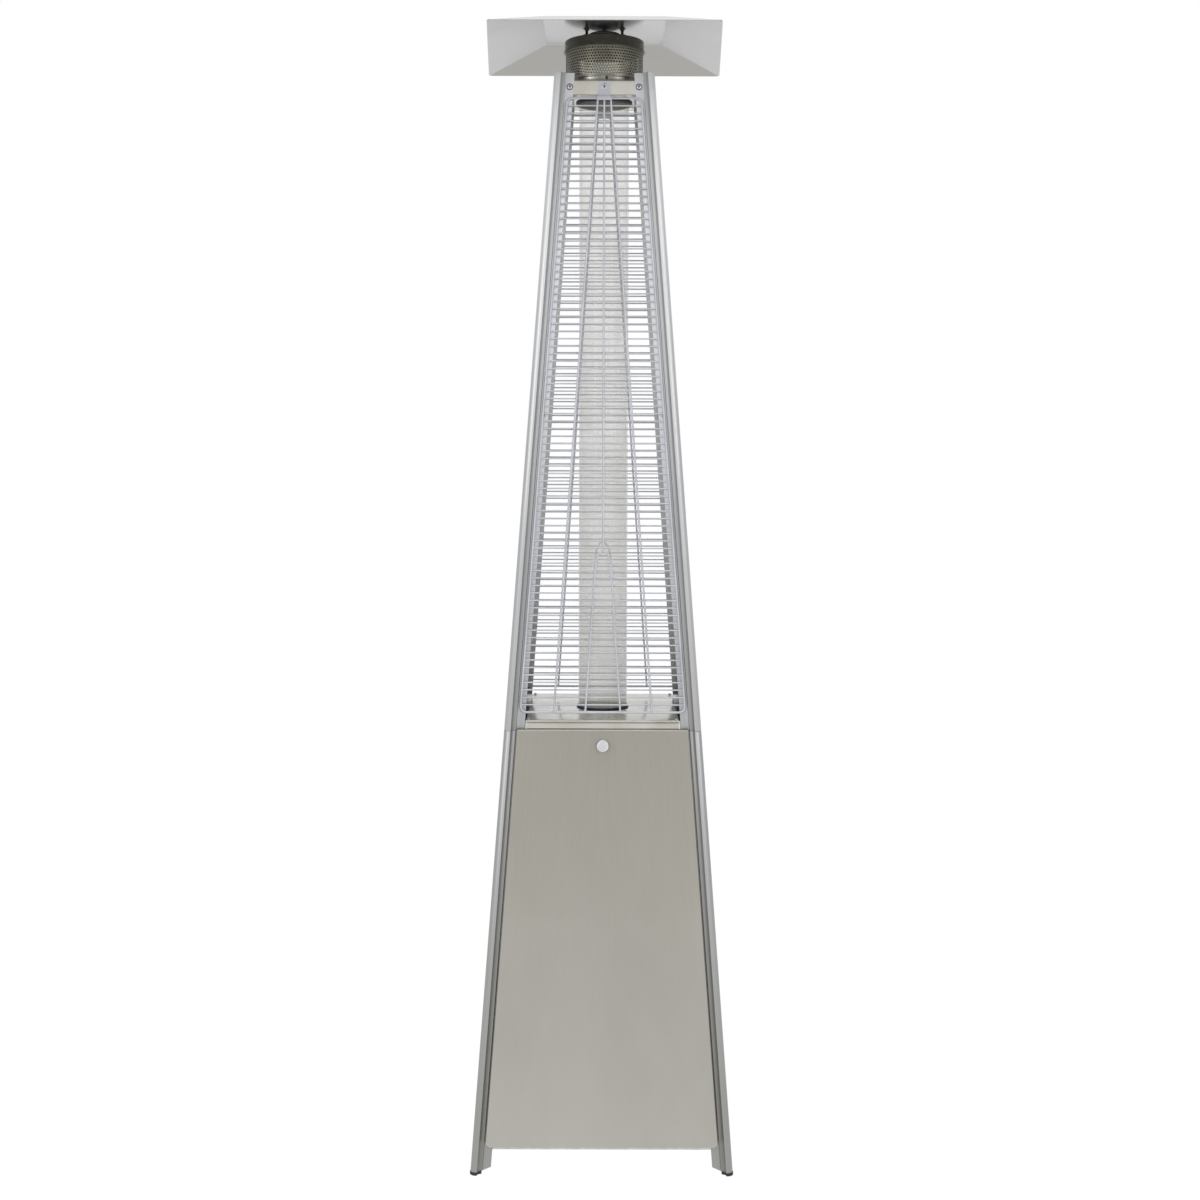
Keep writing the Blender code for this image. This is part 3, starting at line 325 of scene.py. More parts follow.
def makePolishedSteel():
    look = {
        # the next two tones are painted reflection, set by the waves
        "bright": (0.575, 0.568, 0.535),
        "warm": (0.485, 0.47, 0.415),
        "worn": (0.46, 0.44, 0.38),
        "wave": 16,
        "scratch": 420,
    }
    paint, tree, shader = startCoat("polished_steel")
    wave = grain(tree, look["wave"], (1, 1, 1), 1.0)
    scratch = grain(tree, look["scratch"], (0.12, 1, 1), 3.0, 0.7)
    # The tone follows the waves: painted reflections of the wavy face, on top of the bump.
    tone = mixed(tree, ramped(tree, wave, 0.35, 0.7, 0, 1), look["bright"], look["warm"])
    tone = mixed(tree, ramped(tree, scratch, 0.5, 0.8, 0, 0.35), tone, look["worn"])
    tree.links.new(tone, shader.inputs["Base Color"])
    tree.links.new(ramped(tree, scratch, 0.3, 0.75, 0.10, 0.26), shader.inputs["Roughness"])
    shader.inputs["Metallic"].default_value = 1.0
    height = calc(tree, "ADD", wave, calc(tree, "MULTIPLY", scratch, 0.006))
    relief(tree, shader, height, 0.35, 0.003)
    return paint


# Heat-tinted steel; near black nearer the axis than one radius, and painted lighter above one height, a
# painted reflection of the bright hood.
def makeBurntSteel(shade, darkInsideRadius=0.0, litAbove=9.0):
    look = {"olive": (0.30, 0.285, 0.215), "grey": (0.44, 0.43, 0.37), "straw": (0.40, 0.34, 0.20)}
    tint = {name: tuple(part * shade for part in colour) for name, colour in look.items()}
    paint, tree, shader = startCoat("burnt_steel")
    cloud = grain(tree, 28, (1, 1, 1.6), 5.0, 0.65)
    stain = grain(tree, 11, (1, 1, 2.5), 3.0)
    tone = mixed(tree, ramped(tree, cloud, 0.30, 0.72, 0, 1), tint["olive"], tint["grey"])
    tone = mixed(tree, ramped(tree, stain, 0.5, 0.72, 0, 0.35), tone, tint["straw"])
    x, y, z = objectParts(tree)
    # Above that height: painted reflection of the bright hood on the cap's top.
    tone = mixed(tree, ramped(tree, z, litAbove, litAbove + 0.0008, 0, 0.9), tone, (0.50, 0.47, 0.40))
    # Near black nearer the axis than one radius.
    if darkInsideRadius:
        square = calc(tree, "ADD", calc(tree, "MULTIPLY", x, x), calc(tree, "MULTIPLY", y, y))
        reach = calc(tree, "POWER", square, 0.5)
        darkInside = ramped(tree, reach, darkInsideRadius - 0.0002, darkInsideRadius, 1, 0)
        tone = mixed(tree, darkInside, tone, (0.012, 0.011, 0.009))
    tree.links.new(tone, shader.inputs["Base Color"])
    tree.links.new(ramped(tree, cloud, 0.3, 0.7, 0.30, 0.42), shader.inputs["Roughness"])
    shader.inputs["Metallic"].default_value = 1.0
    relief(tree, shader, grain(tree, 240, (1, 1, 1), 3.0), 0.12, 0.0004)
    return paint


def makeStudSteel():
    look = {"dark": (0.045, 0.043, 0.035), "light": (0.12, 0.115, 0.095)}
    paint, tree, shader = startCoat("stud_steel")
    cloud = grain(tree, 90, (1, 1, 1), 4.0, 0.6)
    tone = mixed(tree, ramped(tree, cloud, 0.35, 0.7, 0, 1), look["dark"], look["light"])
    tree.links.new(tone, shader.inputs["Base Color"])
    tree.links.new(ramped(tree, cloud, 0.3, 0.7, 0.30, 0.50), shader.inputs["Roughness"])
    shader.inputs["Metallic"].default_value = 1.0
    relief(tree, shader, cloud, 0.15, 0.0004)
    return paint


# The flat middle is shinier than the four slopes. Each facet gets painted shading of the folds: the side
# slopes lighter, the middle darker, the rear slope darker and warmer with a painted reflection of the head.
def makeReflectorAluminium():
    look = {
        "middle": (0.39, 0.39, 0.395),
        "side": (0.51, 0.512, 0.515),
        "rear": (0.385, 0.376, 0.352),
        "patch": (0.42, 0.42, 0.415),
        "rolled": (0.42, 0.42, 0.41),
        "flat": 0.119,
        "blend": 0.002,
    }
    paint, tree, shader = startCoat("reflector_aluminium")
    x, y = objectParts(tree)[:2]
    wide = calc(tree, "ABSOLUTE", x)
    reach = calc(tree, "MAXIMUM", wide, calc(tree, "ABSOLUTE", y))
    beyond = ramped(tree, reach, look["flat"] - look["blend"], look["flat"] + look["blend"], 0, 1)
    rear = ramped(tree, calc(tree, "SUBTRACT", y, wide), -0.003, 0.003, 0, 1)
    # Facet tones: painted shading, by position.
    tone = mixed(tree, beyond, look["middle"], look["side"])
    tone = mixed(tree, calc(tree, "MULTIPLY", beyond, rear), tone, look["rear"])
    roll = grain(tree, 330, (1, 0.03, 0.03), 3.0, 0.6)
    cloud = grain(tree, 6, (1, 1, 1), 4.0, 0.55)
    tone = mixed(tree, ramped(tree, cloud, 0.35, 0.7, 0, 0.18), tone, look["patch"])
    tone = mixed(tree, ramped(tree, roll, 0.45, 0.75, 0, 0.08), tone, look["rolled"])
    tree.links.new(tone, shader.inputs["Base Color"])
    finish = ramped(tree, beyond, 0, 1, 0.16, 0.40)
    finish = calc(tree, "ADD", finish, ramped(tree, cloud, 0.3, 0.7, -0.02, 0.03))
    tree.links.new(finish, shader.inputs["Roughness"])
    shader.inputs["Metallic"].default_value = 0.85
    relief(tree, shader, cloud, 0.10, 0.004)
    return paint


def makeGuardPaint():
    look = {"silver": (0.50, 0.508, 0.55), "shade": (0.42, 0.428, 0.465), "glint": (0.56, 0.57, 0.60)}
    paint, tree, shader = startCoat("guard_paint")
    speck = grain(tree, 900, (1, 1, 1), 2.0)
    cloud = grain(tree, 14, (1, 1, 1), 3.0)
    tone = mixed(tree, ramped(tree, cloud, 0.35, 0.7, 0, 1), look["silver"], look["shade"])
    tone = mixed(tree, ramped(tree, speck, 0.6, 0.75, 0, 0.5), tone, look["glint"])
    tree.links.new(tone, shader.inputs["Base Color"])
    tree.links.new(ramped(tree, speck, 0.3, 0.7, 0.34, 0.48), shader.inputs["Roughness"])
    shader.inputs["Metallic"].default_value = 0.45
    relief(tree, shader, speck, 0.10, 0.0002)
    return paint


def makeDarkCoat(name, colour, light, scale, rough, bump):
    paint, tree, shader = startCoat(name)
    cloud = grain(tree, scale, (1, 1, 1), 4.0, 0.6)
    wear = grain(tree, scale / 9, (1, 1, 1), 3.0)
    tone = mixed(tree, ramped(tree, cloud, 0.35, 0.75, 0, 1), colour, light)
    tone = mixed(tree, ramped(tree, wear, 0.55, 0.8, 0, 0.4), tone, tuple(c * 1.8 for c in light))
    tree.links.new(tone, shader.inputs["Base Color"])
    tree.links.new(ramped(tree, cloud, 0.3, 0.7, rough, rough + 0.14), shader.inputs["Roughness"])
    relief(tree, shader, cloud, bump, 0.0003)
    return paint


def makeGlass():
    look = {
        "tint": (0.66, 0.65, 0.605),
        "speck": (0.36, 0.35, 0.31),
        "clear": 0.11,  # haze at the head of the tube
        "hazy": 0.31,  # haze at its foot
        "edge": 0.5,
    }
    paint, tree, shader = startCoat("borosilicate_glass")
    cloud = grain(tree, 22, (1, 1, 0.7), 4.0, 0.6)
    speck = grain(tree, 420, (1, 1, 1), 2.0, 0.5)
    dots = ramped(tree, speck, 0.66, 0.74, 0, 1)
    tree.links.new(mixed(tree, dots, look["tint"], look["speck"]), shader.inputs["Base Color"])
    low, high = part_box("glass_tube")
    haze = ramped(tree, objectParts(tree)[2], low.z, high.z, look["hazy"], look["clear"])
    haze = calc(tree, "ADD", haze, ramped(tree, cloud, 0.3, 0.7, -0.05, 0.05))
    rim = tree.nodes.new("ShaderNodeLayerWeight")
    rim.inputs["Blend"].default_value = 0.5
    edge = calc(tree, "MULTIPLY", calc(tree, "POWER", rim.outputs["Facing"], 5.0), look["edge"])
    haze = calc(tree, "ADD", haze, edge)
    haze = calc(tree, "ADD", haze, calc(tree, "MULTIPLY", dots, 0.25))
    tree.links.new(ramped(tree, haze, 0, 1, 0, 1), shader.inputs["Alpha"])
    shader.inputs["Roughness"].default_value = 0.08
    shader.inputs["IOR"].default_value = 1.47
    return paint


def makeMetal(name, first, second, scale, rough, stretch=(1, 1, 1), metal=1.0):
    paint, tree, shader = startCoat(name)
    cloud = grain(tree, scale, stretch, 4.0, 0.6)
    tone = mixed(tree, ramped(tree, cloud, 0.35, 0.7, 0, 1), first, second)
    tree.links.new(tone, shader.inputs["Base Color"])
    tree.links.new(ramped(tree, cloud, 0.3, 0.7, rough, rough + 0.14), shader.inputs["Roughness"])
    shader.inputs["Metallic"].default_value = metal
    relief(tree, shader, cloud, 0.12, 0.0003)
    return paint


legAluminium = makeLegAluminium()
brushedSteel = makeBrushedSteel()
polishedSteel = makePolishedSteel()
burntSteel = makeBurntSteel(0.55)
capSteel = makeBurntSteel(0.22, litAbove=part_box("screen_cap")[0].z + 0.0195)
screenSteel = makeBurntSteel(0.62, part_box("flame_screen")[1].x - 0.0002)
studSteel = makeStudSteel()
reflectorAluminium = makeReflectorAluminium()
guardPaint = makeGuardPaint()
glassCoat = makeGlass()
blackEnamel = makeDarkCoat("black_enamel", (0.012, 0.012, 0.012), (0.03, 0.03, 0.03), 300, 0.42, 0.15)
blackPlastic = makeDarkCoat("black_plastic", (0.014, 0.014, 0.015), (0.028, 0.028, 0.03), 500, 0.38, 0.2)
footRubber = makeDarkCoat("foot_rubber", (0.010, 0.010, 0.010), (0.022, 0.022, 0.022), 700, 0.62, 0.3)
brassCoat = makeMetal("brass", (0.66, 0.50, 0.22), (0.52, 0.38, 0.16), 120, 0.26)
zincSteel = makeMetal("zinc_steel", (0.58, 0.59, 0.60), (0.46, 0.47, 0.47), 70, 0.32)
neckSteel = makeMetal("polished_steel", (0.30, 0.293, 0.27), (0.11, 0.107, 0.094), 34, 0.26, (1, 1, 0.4))
sootSteel = makeDarkCoat("burnt_steel", (0.010, 0.010, 0.009), (0.035, 0.033, 0.028), 90, 0.50, 0.3)
pullChrome = makeMetal("pull_chrome", (0.62, 0.62, 0.63), (0.54, 0.54, 0.55), 260, 0.30, (1, 1, 0.1))
print("finishes ready")


# ---- shaping helpers

def keep(name, bm, paint, stands=(), body="heater_frame", crease=32):
    bmesh.ops.remove_doubles(bm, verts=bm.verts, dist=touch)
    bmesh.ops.recalc_face_normals(bm, faces=bm.faces)
    mesh = bpy.data.meshes.new(name)
    bm.to_mesh(mesh)
    bm.free()
    mesh.shade_smooth()
    mesh.set_sharp_from_angle(angle=math.radians(crease))
    mesh.materials.append(paint)
    piece = bpy.data.objects.new(name, mesh)
    bpy.context.collection.objects.link(piece)
    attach(piece, body)
    if stands:
        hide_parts(*stands)
    return piece


# Rounds every edge that turns more sharply than the angle.
def soften(bm, width, angle=40, segments=2, edges=None):
    bmesh.ops.remove_doubles(bm, verts=bm.verts, dist=touch)
    chosen = []
    for edge in (bm.edges if edges is None else edges):
        if len(edge.link_faces) == 2 and abs(edge.calc_face_angle_signed(0)) > math.radians(angle):
            chosen.append(edge)
    bmesh.ops.bevel(
        bm, geom=chosen, offset=width, affect="EDGES", segments=segments, profile=0.5, material=-1,
        clamp_overlap=True,
    )


# Turns a closed outline of radii and heights round the axis.
def lathe(outline, steps=96):
    bm = bmesh.new()
    ring = [bm.verts.new((radius, 0, height)) for radius, height in outline]
    pairs = zip(ring, ring[1:] + ring[:1])
    lines = [bm.edges.new(pair) for pair in pairs if pair[0].co.x > 0 or pair[1].co.x > 0]
    bmesh.ops.spin(
        bm, geom=ring + lines, cent=(0, 0, 0), axis=(0, 0, 1), angle=2 * math.pi, steps=steps, use_merge=True
    )
    bmesh.ops.remove_doubles(bm, verts=bm.verts, dist=touch)
    bmesh.ops.recalc_face_normals(bm, faces=bm.faces)
    return bm


def tubeLine(inner, outer, low, high):
    return [(inner, low), (outer, low), (outer, high), (inner, high)]


def rectangle(halfX, halfY):
    return [(-halfX, -halfY), (halfX, -halfY), (halfX, halfY), (-halfX, halfY)]


# Adds a block of one size, centred on a place.
def brick(bm, size, centre):
    verts = bmesh.ops.create_cube(bm, size=1.0)["verts"]
    bmesh.ops.scale(bm, vec=size, verts=verts)
    bmesh.ops.translate(bm, vec=centre, verts=verts)


def newVerts(grown):
    return [item for item in grown["geom"] if isinstance(item, bmesh.types.BMVert)]


# Extrudes open edges and moves what grew.
def extend(bm, edges, move=(0, 0, 0)):
    verts = newVerts(bmesh.ops.extrude_edge_only(bm, edges=edges))
    bmesh.ops.translate(bm, vec=move, verts=verts)
    return verts


def joinTo(bm, other):
    mesh = bpy.data.meshes.new("joined")
    other.to_mesh(mesh)
    other.free()
    bm.from_mesh(mesh)
    bpy.data.meshes.remove(mesh)


# Adds a straight wire between two points.
def wire(bm, start, end, radius, sides=8):
    run = Vector(end) - Vector(start)
    turn = run.to_track_quat("Z", "Y").to_matrix().to_4x4()
    place = Matrix.Translation((Vector(start) + Vector(end)) / 2) @ turn
    bmesh.ops.create_cone(
        bm, cap_ends=True, segments=sides, radius1=radius, radius2=radius, depth=run.length, matrix=place
    )


# Adds a bent wire that follows a line of points.
def bentWire(bm, points, radius, sides=10, loop=False):
    curve = bpy.data.curves.new("wirePath", "CURVE")
    curve.dimensions = "3D"
    curve.bevel_depth = radius
    curve.bevel_resolution = (sides - 4) // 2
    curve.use_fill_caps = True
    spline = curve.splines.new("POLY")
    spline.points.add(len(points) - 1)
    for spot, point in zip(spline.points, points):
        spot.co = (*point, 1)
    spline.use_cyclic_u = loop
    holder = bpy.data.objects.new("wirePath", curve)
    bpy.context.collection.objects.link(holder)
    graph = bpy.context.evaluated_depsgraph_get()
    mesh = bpy.data.meshes.new_from_object(holder.evaluated_get(graph))
    bm.from_mesh(mesh)
    bpy.data.objects.remove(holder)
    bpy.data.curves.remove(curve)
    bpy.data.meshes.remove(mesh)


# Points round a corner of a wire path, in the face plane.
def cornerPoints(corner, before, after, radius, steps=6):
    corner = Vector(corner)
    inward = (Vector(before) - corner).normalized()
    outward = (Vector(after) - corner).normalized()
    half = inward.angle(outward) / 2
    start = corner + inward * radius / math.tan(half)
    end = corner + outward * radius / math.tan(half)
    centre = corner + (inward + outward).normalized() * radius / math.sin(half)
    points = []
    for step in range(steps + 1):
        spoke = (start - centre).lerp(end - centre, step / steps).normalized()
        points.append(centre + spoke * radius)
    return points


# From across, depth and height on one face to its place on the leaning side.
def ontoSide(bm, side):
    tilt = Matrix(((1, 0, 0, 0), (0, 1, lean, -floorHalf), (0, 0, 1, 0), (0, 0, 0, 1)))
    turn = Matrix.Rotation(math.radians(sideAngle[side]), 4, "Z")
    bmesh.ops.transform(bm, matrix=turn @ tilt, verts=bm.verts)


# Stands a piece, made lying on the floor round the axis, square on the leaning side.
def standOn(bm, side, across, depth, height, spin=0):
    turn = Matrix.Rotation(math.radians(sideAngle[side]), 4, "Z")
    place = Matrix.Translation((across, depth - outerHalf(height), height))
    tilt = Matrix.Rotation(math.radians(90) - math.atan(lean), 4, "X")
    twist = Matrix.Rotation(math.radians(spin), 4, "Z")
    bmesh.ops.transform(bm, matrix=turn @ place @ tilt @ twist, verts=bm.verts)


# From two distances inwards of a post's outer corner and a height to its place.
def ontoCorner(bm, signs):
    sx, sy = signs
    rows = (
        (-sx, 0, -sx * lean, sx * floorHalf),
        (0, -sy, -sy * lean, sy * floorHalf),
        (0, 0, 1, 0),
        (0, 0, 0, 1),
    )
    bmesh.ops.transform(bm, matrix=Matrix(rows), verts=bm.verts)


# A flat sheet at one height from an outline and round holes, ready to fold.
def flatSheet(outline, holes=(), height=0.0, steps=64):
    bm = bmesh.new()
    corners = [bm.verts.new((x, y, height)) for x, y in outline]
    for first, second in zip(corners, corners[1:] + corners[:1]):
        bm.edges.new((first, second))
    for x, y, radius in holes:
        place = Matrix.Translation((x, y, height))
        bmesh.ops.create_circle(bm, segments=steps, radius=radius, matrix=place)
    bmesh.ops.triangle_fill(bm, use_beauty=True, use_dissolve=True, edges=bm.edges[:])
    return bm


def thicken(bm, wall):
    bmesh.ops.recalc_face_normals(bm, faces=bm.faces)
    bmesh.ops.solidify(bm, geom=bm.faces[:], thickness=wall)


def arcSpots(centre, radius, start, end, steps):
    spots = []
    for step in range(steps + 1):
        turn = math.radians(start + (end - start) * step / steps)
        spots.append((centre[0] + radius * math.cos(turn), centre[1] + radius * math.sin(turn)))
    return spots


# ---- legs and feet

def noseLine(grow=0.0):
    reach = post["noseRadius"] + post["noseFlat"] + post["fluteRadius"]
    line = arcSpots((reach, -grow), post["fluteRadius"], 90, 180, 8)
    line += arcSpots((post["noseRadius"],) * 2, post["noseRadius"] + grow, 270, 180, 14)
    line += arcSpots((-grow, reach), post["fluteRadius"], 270, 360, 8)
    return line


def prism(outline, foot, head):
    bm = bmesh.new()
    ring = [bm.verts.new((x, y, foot)) for x, y in outline]
    grown = bmesh.ops.extrude_face_region(bm, geom=[bm.faces.new(ring)])
    bmesh.ops.translate(bm, vec=(0, 0, head - foot), verts=newVerts(grown))
    return bm


def makeLegs():
    cap = {"grow": 0.0008, "lap": 0.0012, "round": 0.0011}
    end, start, face = post["flangeEnd"], post["flangeStart"], post["flangeFace"]
    outline = [(end, face), (start, face)] + noseLine() + [(face, start), (face, end)]
    outline += [(flangeBack, end), (flangeBack, flangeBack), (end, flangeBack)]
    for corner, signs in cornerSigns.items():
        for part in ("lower", "upper"):
            low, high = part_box(f"{part}_leg_{corner}")
            bm = prism(outline, low.z, high.z)
            if part == "lower":  # the flange ends are cut on a slant
                for vert in bm.verts:
                    beyond = max(vert.co.x, vert.co.y) - start
                    if vert.co.z < high.z - 0.1 and beyond > 0:
                        vert.co.z += post["flangeCut"] * beyond / (end - start)
            soften(bm, post["lipRound"], 60, 2)
            ontoCorner(bm, signs)
            name = part + "Leg" + corner.title().replace("_", "")
            keep(name, bm, legAluminium, [f"{part}_leg_{corner}"])
        low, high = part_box("foot_cap_" + corner)
        bm = prism(noseLine(cap["grow"]) + [(flangeBack, flangeBack)], low.z, high.z + cap["lap"])
        soften(bm, cap["round"], 60, 3)
        ontoCorner(bm, signs)
        keep("footCap" + corner.title().replace("_", ""), bm, footRubber, ["foot_cap_" + corner])
    print("legs and feet")


# ---- housing panels and door

panelSize = {
    "edge": 0.026,
    "face": 0.005,
    "rim": 0.0065,
    "sheet": 0.0012,
    "corner": 0.008,
    "cornerRise": 0.006,
    "foldRound": 0.0012,
    "headRound": 0.0040,
}


def foldedPanel(low, high):
    size = panelSize
    shoulder = low + size["cornerRise"]
    bm = bmesh.new()
    halves = (
        (outerHalf(low) - size["edge"] - size["corner"], low),
        (outerHalf(shoulder) - size["edge"], shoulder),
        (outerHalf(high) - size["edge"], high),
    )
    right = [(half, size["face"], z) for half, z in halves]
    left = [(-half, depth, z) for half, depth, z in reversed(right)]
    ring = [bm.verts.new(point) for point in right + left]
    bm.faces.new(ring)
    bm.edges.ensure_lookup_table()
    folded = [edge for edge in bm.edges if max(vert.co.z for vert in edge.verts) > shoulder + 0.001]
    extend(bm, folded, (0, size["rim"], 0))
    head = []
    for edge in bm.edges:
        if all(vert.co.z > high - touch and vert.co.y < size["face"] + touch for vert in edge.verts):
            head.append(edge)
    soften(bm, size["headRound"], 40, 5, head)
    soften(bm, size["foldRound"], 60, 4)
    for face in bm.faces:
        face.smooth = True
    thicken(bm, size["sheet"])
    return bm


def makePanels():
    for side, node in (("right", "side_panel_right"), ("rear", "rear_panel"), ("left", "side_panel_left")):
        low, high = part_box(node)
        bm = foldedPanel(low.z, high.z)
        ontoSide(bm, side)
        keep(side + "Panel", bm, brushedSteel, [node])
    print("fixed panels")


def makeDoor():
    hinge = {
        "radius": 0.0027,
        "bore": 0.0013,
        "spacing": 0.150,
        "length": 0.031,
        "rise": 0.0032,
        "depth": 0.0082,
    }
    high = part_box("door_panel")[1]
    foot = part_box("rear_panel")[0].z
    bm = foldedPanel(foot, high.z)
    ontoSide(bm, "front")
    level = foot + hinge["rise"]
    deep = hinge["depth"] - outerHalf(level)
    for sign in (-1, 1):
        start = sign * hinge["spacing"] - hinge["length"] / 2
        knuckle = lathe(tubeLine(hinge["bore"], hinge["radius"], 0, hinge["length"]), 24)
        turn = Matrix.Translation((start, deep, level)) @ Matrix.Rotation(math.radians(90), 4, "Y")
        bmesh.ops.transform(knuckle, matrix=turn, verts=knuckle.verts)
        joinTo(bm, knuckle)
    keep("doorPanel", bm, brushedSteel, ["door_panel"], "door")

    pull = {"radius": 0.0120, "depth": 0.0145, "waist": 0.0062, "flange": 0.0075, "nut": 0.007}
    pull.update({"nutThick": 0.003, "shank": 0.004, "rim": 0.0140, "dip": 0.0137})
    knobLow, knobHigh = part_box("door_knob")
    height = (knobLow.z + knobHigh.z) / 2
    air = fit * 2
    inner = panelSize["sheet"] + air
    radius, waist, rim = pull["radius"], pull["waist"], pull["rim"]
    outline = [
        (0, -inner - pull["nutThick"]), (pull["nut"], -inner - pull["nutThick"]), (pull["nut"], -inner),
        (pull["shank"], -inner), (pull["shank"], air), (pull["flange"], air), (waist, 0.0016),
        (waist, 0.0062), (radius - 0.0012, 0.0072), (radius, 0.0086), (radius, 0.0128),
        (radius - 0.0009, rim),
        (radius - 0.0016, rim), (radius - 0.0022, pull["dip"]), (radius - 0.0030, rim),
        (radius * 0.4, pull["depth"] - 0.0001), (0, pull["depth"]),
    ]
    bm = lathe(outline, 64)
    soften(bm, 0.0003, 50, 2)
    standOn(bm, "front", 0, panelSize["face"], height)
    keep("doorPull", bm, pullChrome, ["door_knob"], "door")
    print("door")


# ---- screws

screwSize = {"firstTurn": 20, "nextTurn": 47, "shadowRing": 0.0014}  # turns in degrees


def screwShape(radius, rise, steps=24):
    outline = [
        (0, rise), (radius * 0.32, rise), (radius * 0.60, rise * 0.98), (radius * 0.85, rise * 0.80),
        (radius, rise * 0.35), (radius, 0), (0, 0),
    ]
    bm = lathe(outline, steps)
    cross = []
    for face in bm.faces:
        middle = face.calc_center_median()
        turn = math.degrees(math.atan2(middle.y, middle.x)) % 90
        spoke = min(turn, 90 - turn)
        if middle.z > rise * 0.93 and (spoke < 15 or middle.xy.length < radius * 0.3):
            cross.append(face)
    sunk = bmesh.ops.extrude_face_region(bm, geom=cross)
    bmesh.ops.translate(bm, vec=(0, 0, -rise * 0.55), verts=newVerts(sunk))
    bmesh.ops.delete(bm, geom=cross, context="FACES")
    return bm


# Painted shadow: a dark ring round a head and the dark floor of its cross.
def screwShadow(radius):
    inner, edge = radius * 0.95, radius + screwSize["shadowRing"]
    mark = lathe([(inner, 0), (edge, 0), (edge, 0.0003), (inner, 0.0006)], 28)
    long, short = radius * 1.20, radius * 0.44
    for arm in ((long, short), (short, long)):
        brick(mark, (*arm, radius * 0.10), (0, 0, radius * 0.29))
    return mark


# Sets one shape on each spot of a leaning side: across, depth of the surface and height.
def onSpots(name, side, spots, makeShape, paint):
    bm = bmesh.new()
    for index, spot in enumerate(spots):
        shape = makeShape()
        standOn(shape, side, *spot, screwSize["firstTurn"] + screwSize["nextTurn"] * index)
        joinTo(bm, shape)
    keep(name, bm, paint)


def makeScrews():
    head = {"radius": 0.0050, "down": 0.0272, "across": 0.0325, "clipRise": 0.0150, "clipSheet": 0.0012}
    panel = {"radius": 0.0042, "end": 0.040, "inset": 0.014}
    level = legTop - head["down"]
    place = outerHalf(level) - head["across"]
    clip = (0, flangeBack - head["clipSheet"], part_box("top_support")[0].z + head["clipRise"])

    def headShape():
        return screwShape(head["radius"], head["radius"] * 0.5)

    def headShadow():
        return screwShadow(head["radius"])

    def panelHead():
        return screwShape(panel["radius"], panel["radius"] * 0.5)

    for side in sideAngle:
        spots = [(-place, post["flangeFace"], level), (place, post["flangeFace"], level)]
        onSpots("legScrews_" + side, side, spots, headShape, zincSteel)
        onSpots("clipScrew_" + side, side, [clip], headShape, zincSteel)
        onSpots("screwShadows_" + side, side, spots + [clip], headShadow, studSteel)
    low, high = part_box("rear_panel")
    for side in ("right", "rear", "left"):
        spots = []
        for z in (low.z + panel["end"], (low.z + high.z) / 2, high.z - panel["end"]):
            across = outerHalf(z) - panelSize["edge"] - panel["inset"]
            spots += [(-across, panelSize["face"], z), (across, panelSize["face"], z)]
        onSpots("panelScrews_" + side, side, spots, panelHead, zincSteel)
    print("screws")


# ---- burner deck

deckSize = {
    "hole": 0.046,
    "plate": 0.0015,
    "sheet": 0.0012,
    "bend": 0.0022,
    "apronDepth": 0.0143,
    "apronDrop": 0.0245,
    "apronHalf": 0.1505,
    "shoulder": 0.0035,
    "boxHalf": 0.1435,
    "boxBend": 0.0015,
    "edgeRound": 0.0004,
}


# The black box under the deck, with its grey end plates behind the flanges.
def makeBurnerBox():
    size = deckSize
    low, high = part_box("burner_box")
    sheet, side = size["sheet"], size["boxHalf"]
    seat = flangeBack + fit
    deep = outerHalf(high.z) - seat - sheet / 2
    bm = flatSheet(rectangle(side, deep), [(0, 0, size["hole"])], high.z, 96)
    folded = [edge for edge in bm.edges if abs(sum(vert.co.x for vert in edge.verts)) > 2 * side - touch]
    extend(bm, folded, (0, 0, low.z - high.z))
    soften(bm, size["boxBend"], 40, 3)
    thicken(bm, sheet)
    keep("burnerBox", bm, blackEnamel, ["burner_box"])
    for end in ("front", "rear"):
        plate = bmesh.new()
        brick(plate, (2, sheet, high.z - low.z), (0, seat + sheet / 2, (low.z + high.z) / 2))
        for vert in plate.verts:
            vert.co.x = math.copysign(outerHalf(vert.co.z) - post["flangeStart"], vert.co.x)
        soften(plate, size["edgeRound"], 50, 2)
        ontoSide(plate, end)
        keep("boxEnd" + end.title(), plate, zincSteel)


def makeDeck():
    size = deckSize
    makeBurnerBox()
    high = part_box("burner_top_plate")[1]
    reach = outerHalf(high.z) - size["apronDepth"]
    bm = flatSheet(rectangle(high.x, reach), [(0, 0, size["hole"])], high.z, 96)
    drop = 2 * size["shoulder"]
    for sign in (-1, 1):
        end = sign * reach
        side = [edge for edge in bm.edges if all(abs(vert.co.y - end) < touch for vert in edge.verts)]
        extend(bm, side, (0, sign * lean * drop, -drop))
    soften(bm, size["bend"], 40, 4)
    thicken(bm, size["plate"])
    tall = size["apronDrop"] - size["shoulder"]
    middle = (0, size["apronDepth"] + size["sheet"] / 2, high.z - size["shoulder"] - tall / 2)
    for side in ("front", "rear"):
        apron = bmesh.new()
        brick(apron, (2 * size["apronHalf"], size["sheet"], tall), middle)
        soften(apron, size["edgeRound"], 50, 2)
        ontoSide(apron, side)
        joinTo(bm, apron)
    keep("burnerDeck", bm, polishedSteel, ["burner_top_plate"])

    screw = {"radius": 0.0032, "rise": 0.0018, "fromSide": 0.0045, "fromEnd": 0.0075}
    screws = bmesh.new()
    for sx in (-1, 1):
        for sy in (-1, 1):
            head = screwShape(screw["radius"], screw["rise"])
            spot = (sx * (high.x - screw["fromSide"]), sy * (reach - screw["fromEnd"]), high.z)
            bmesh.ops.translate(head, vec=spot, verts=head.verts)
            joinTo(screws, head)
    keep("deckScrews", screws, zincSteel)
    print("burner deck")


# ---- glass and its rings

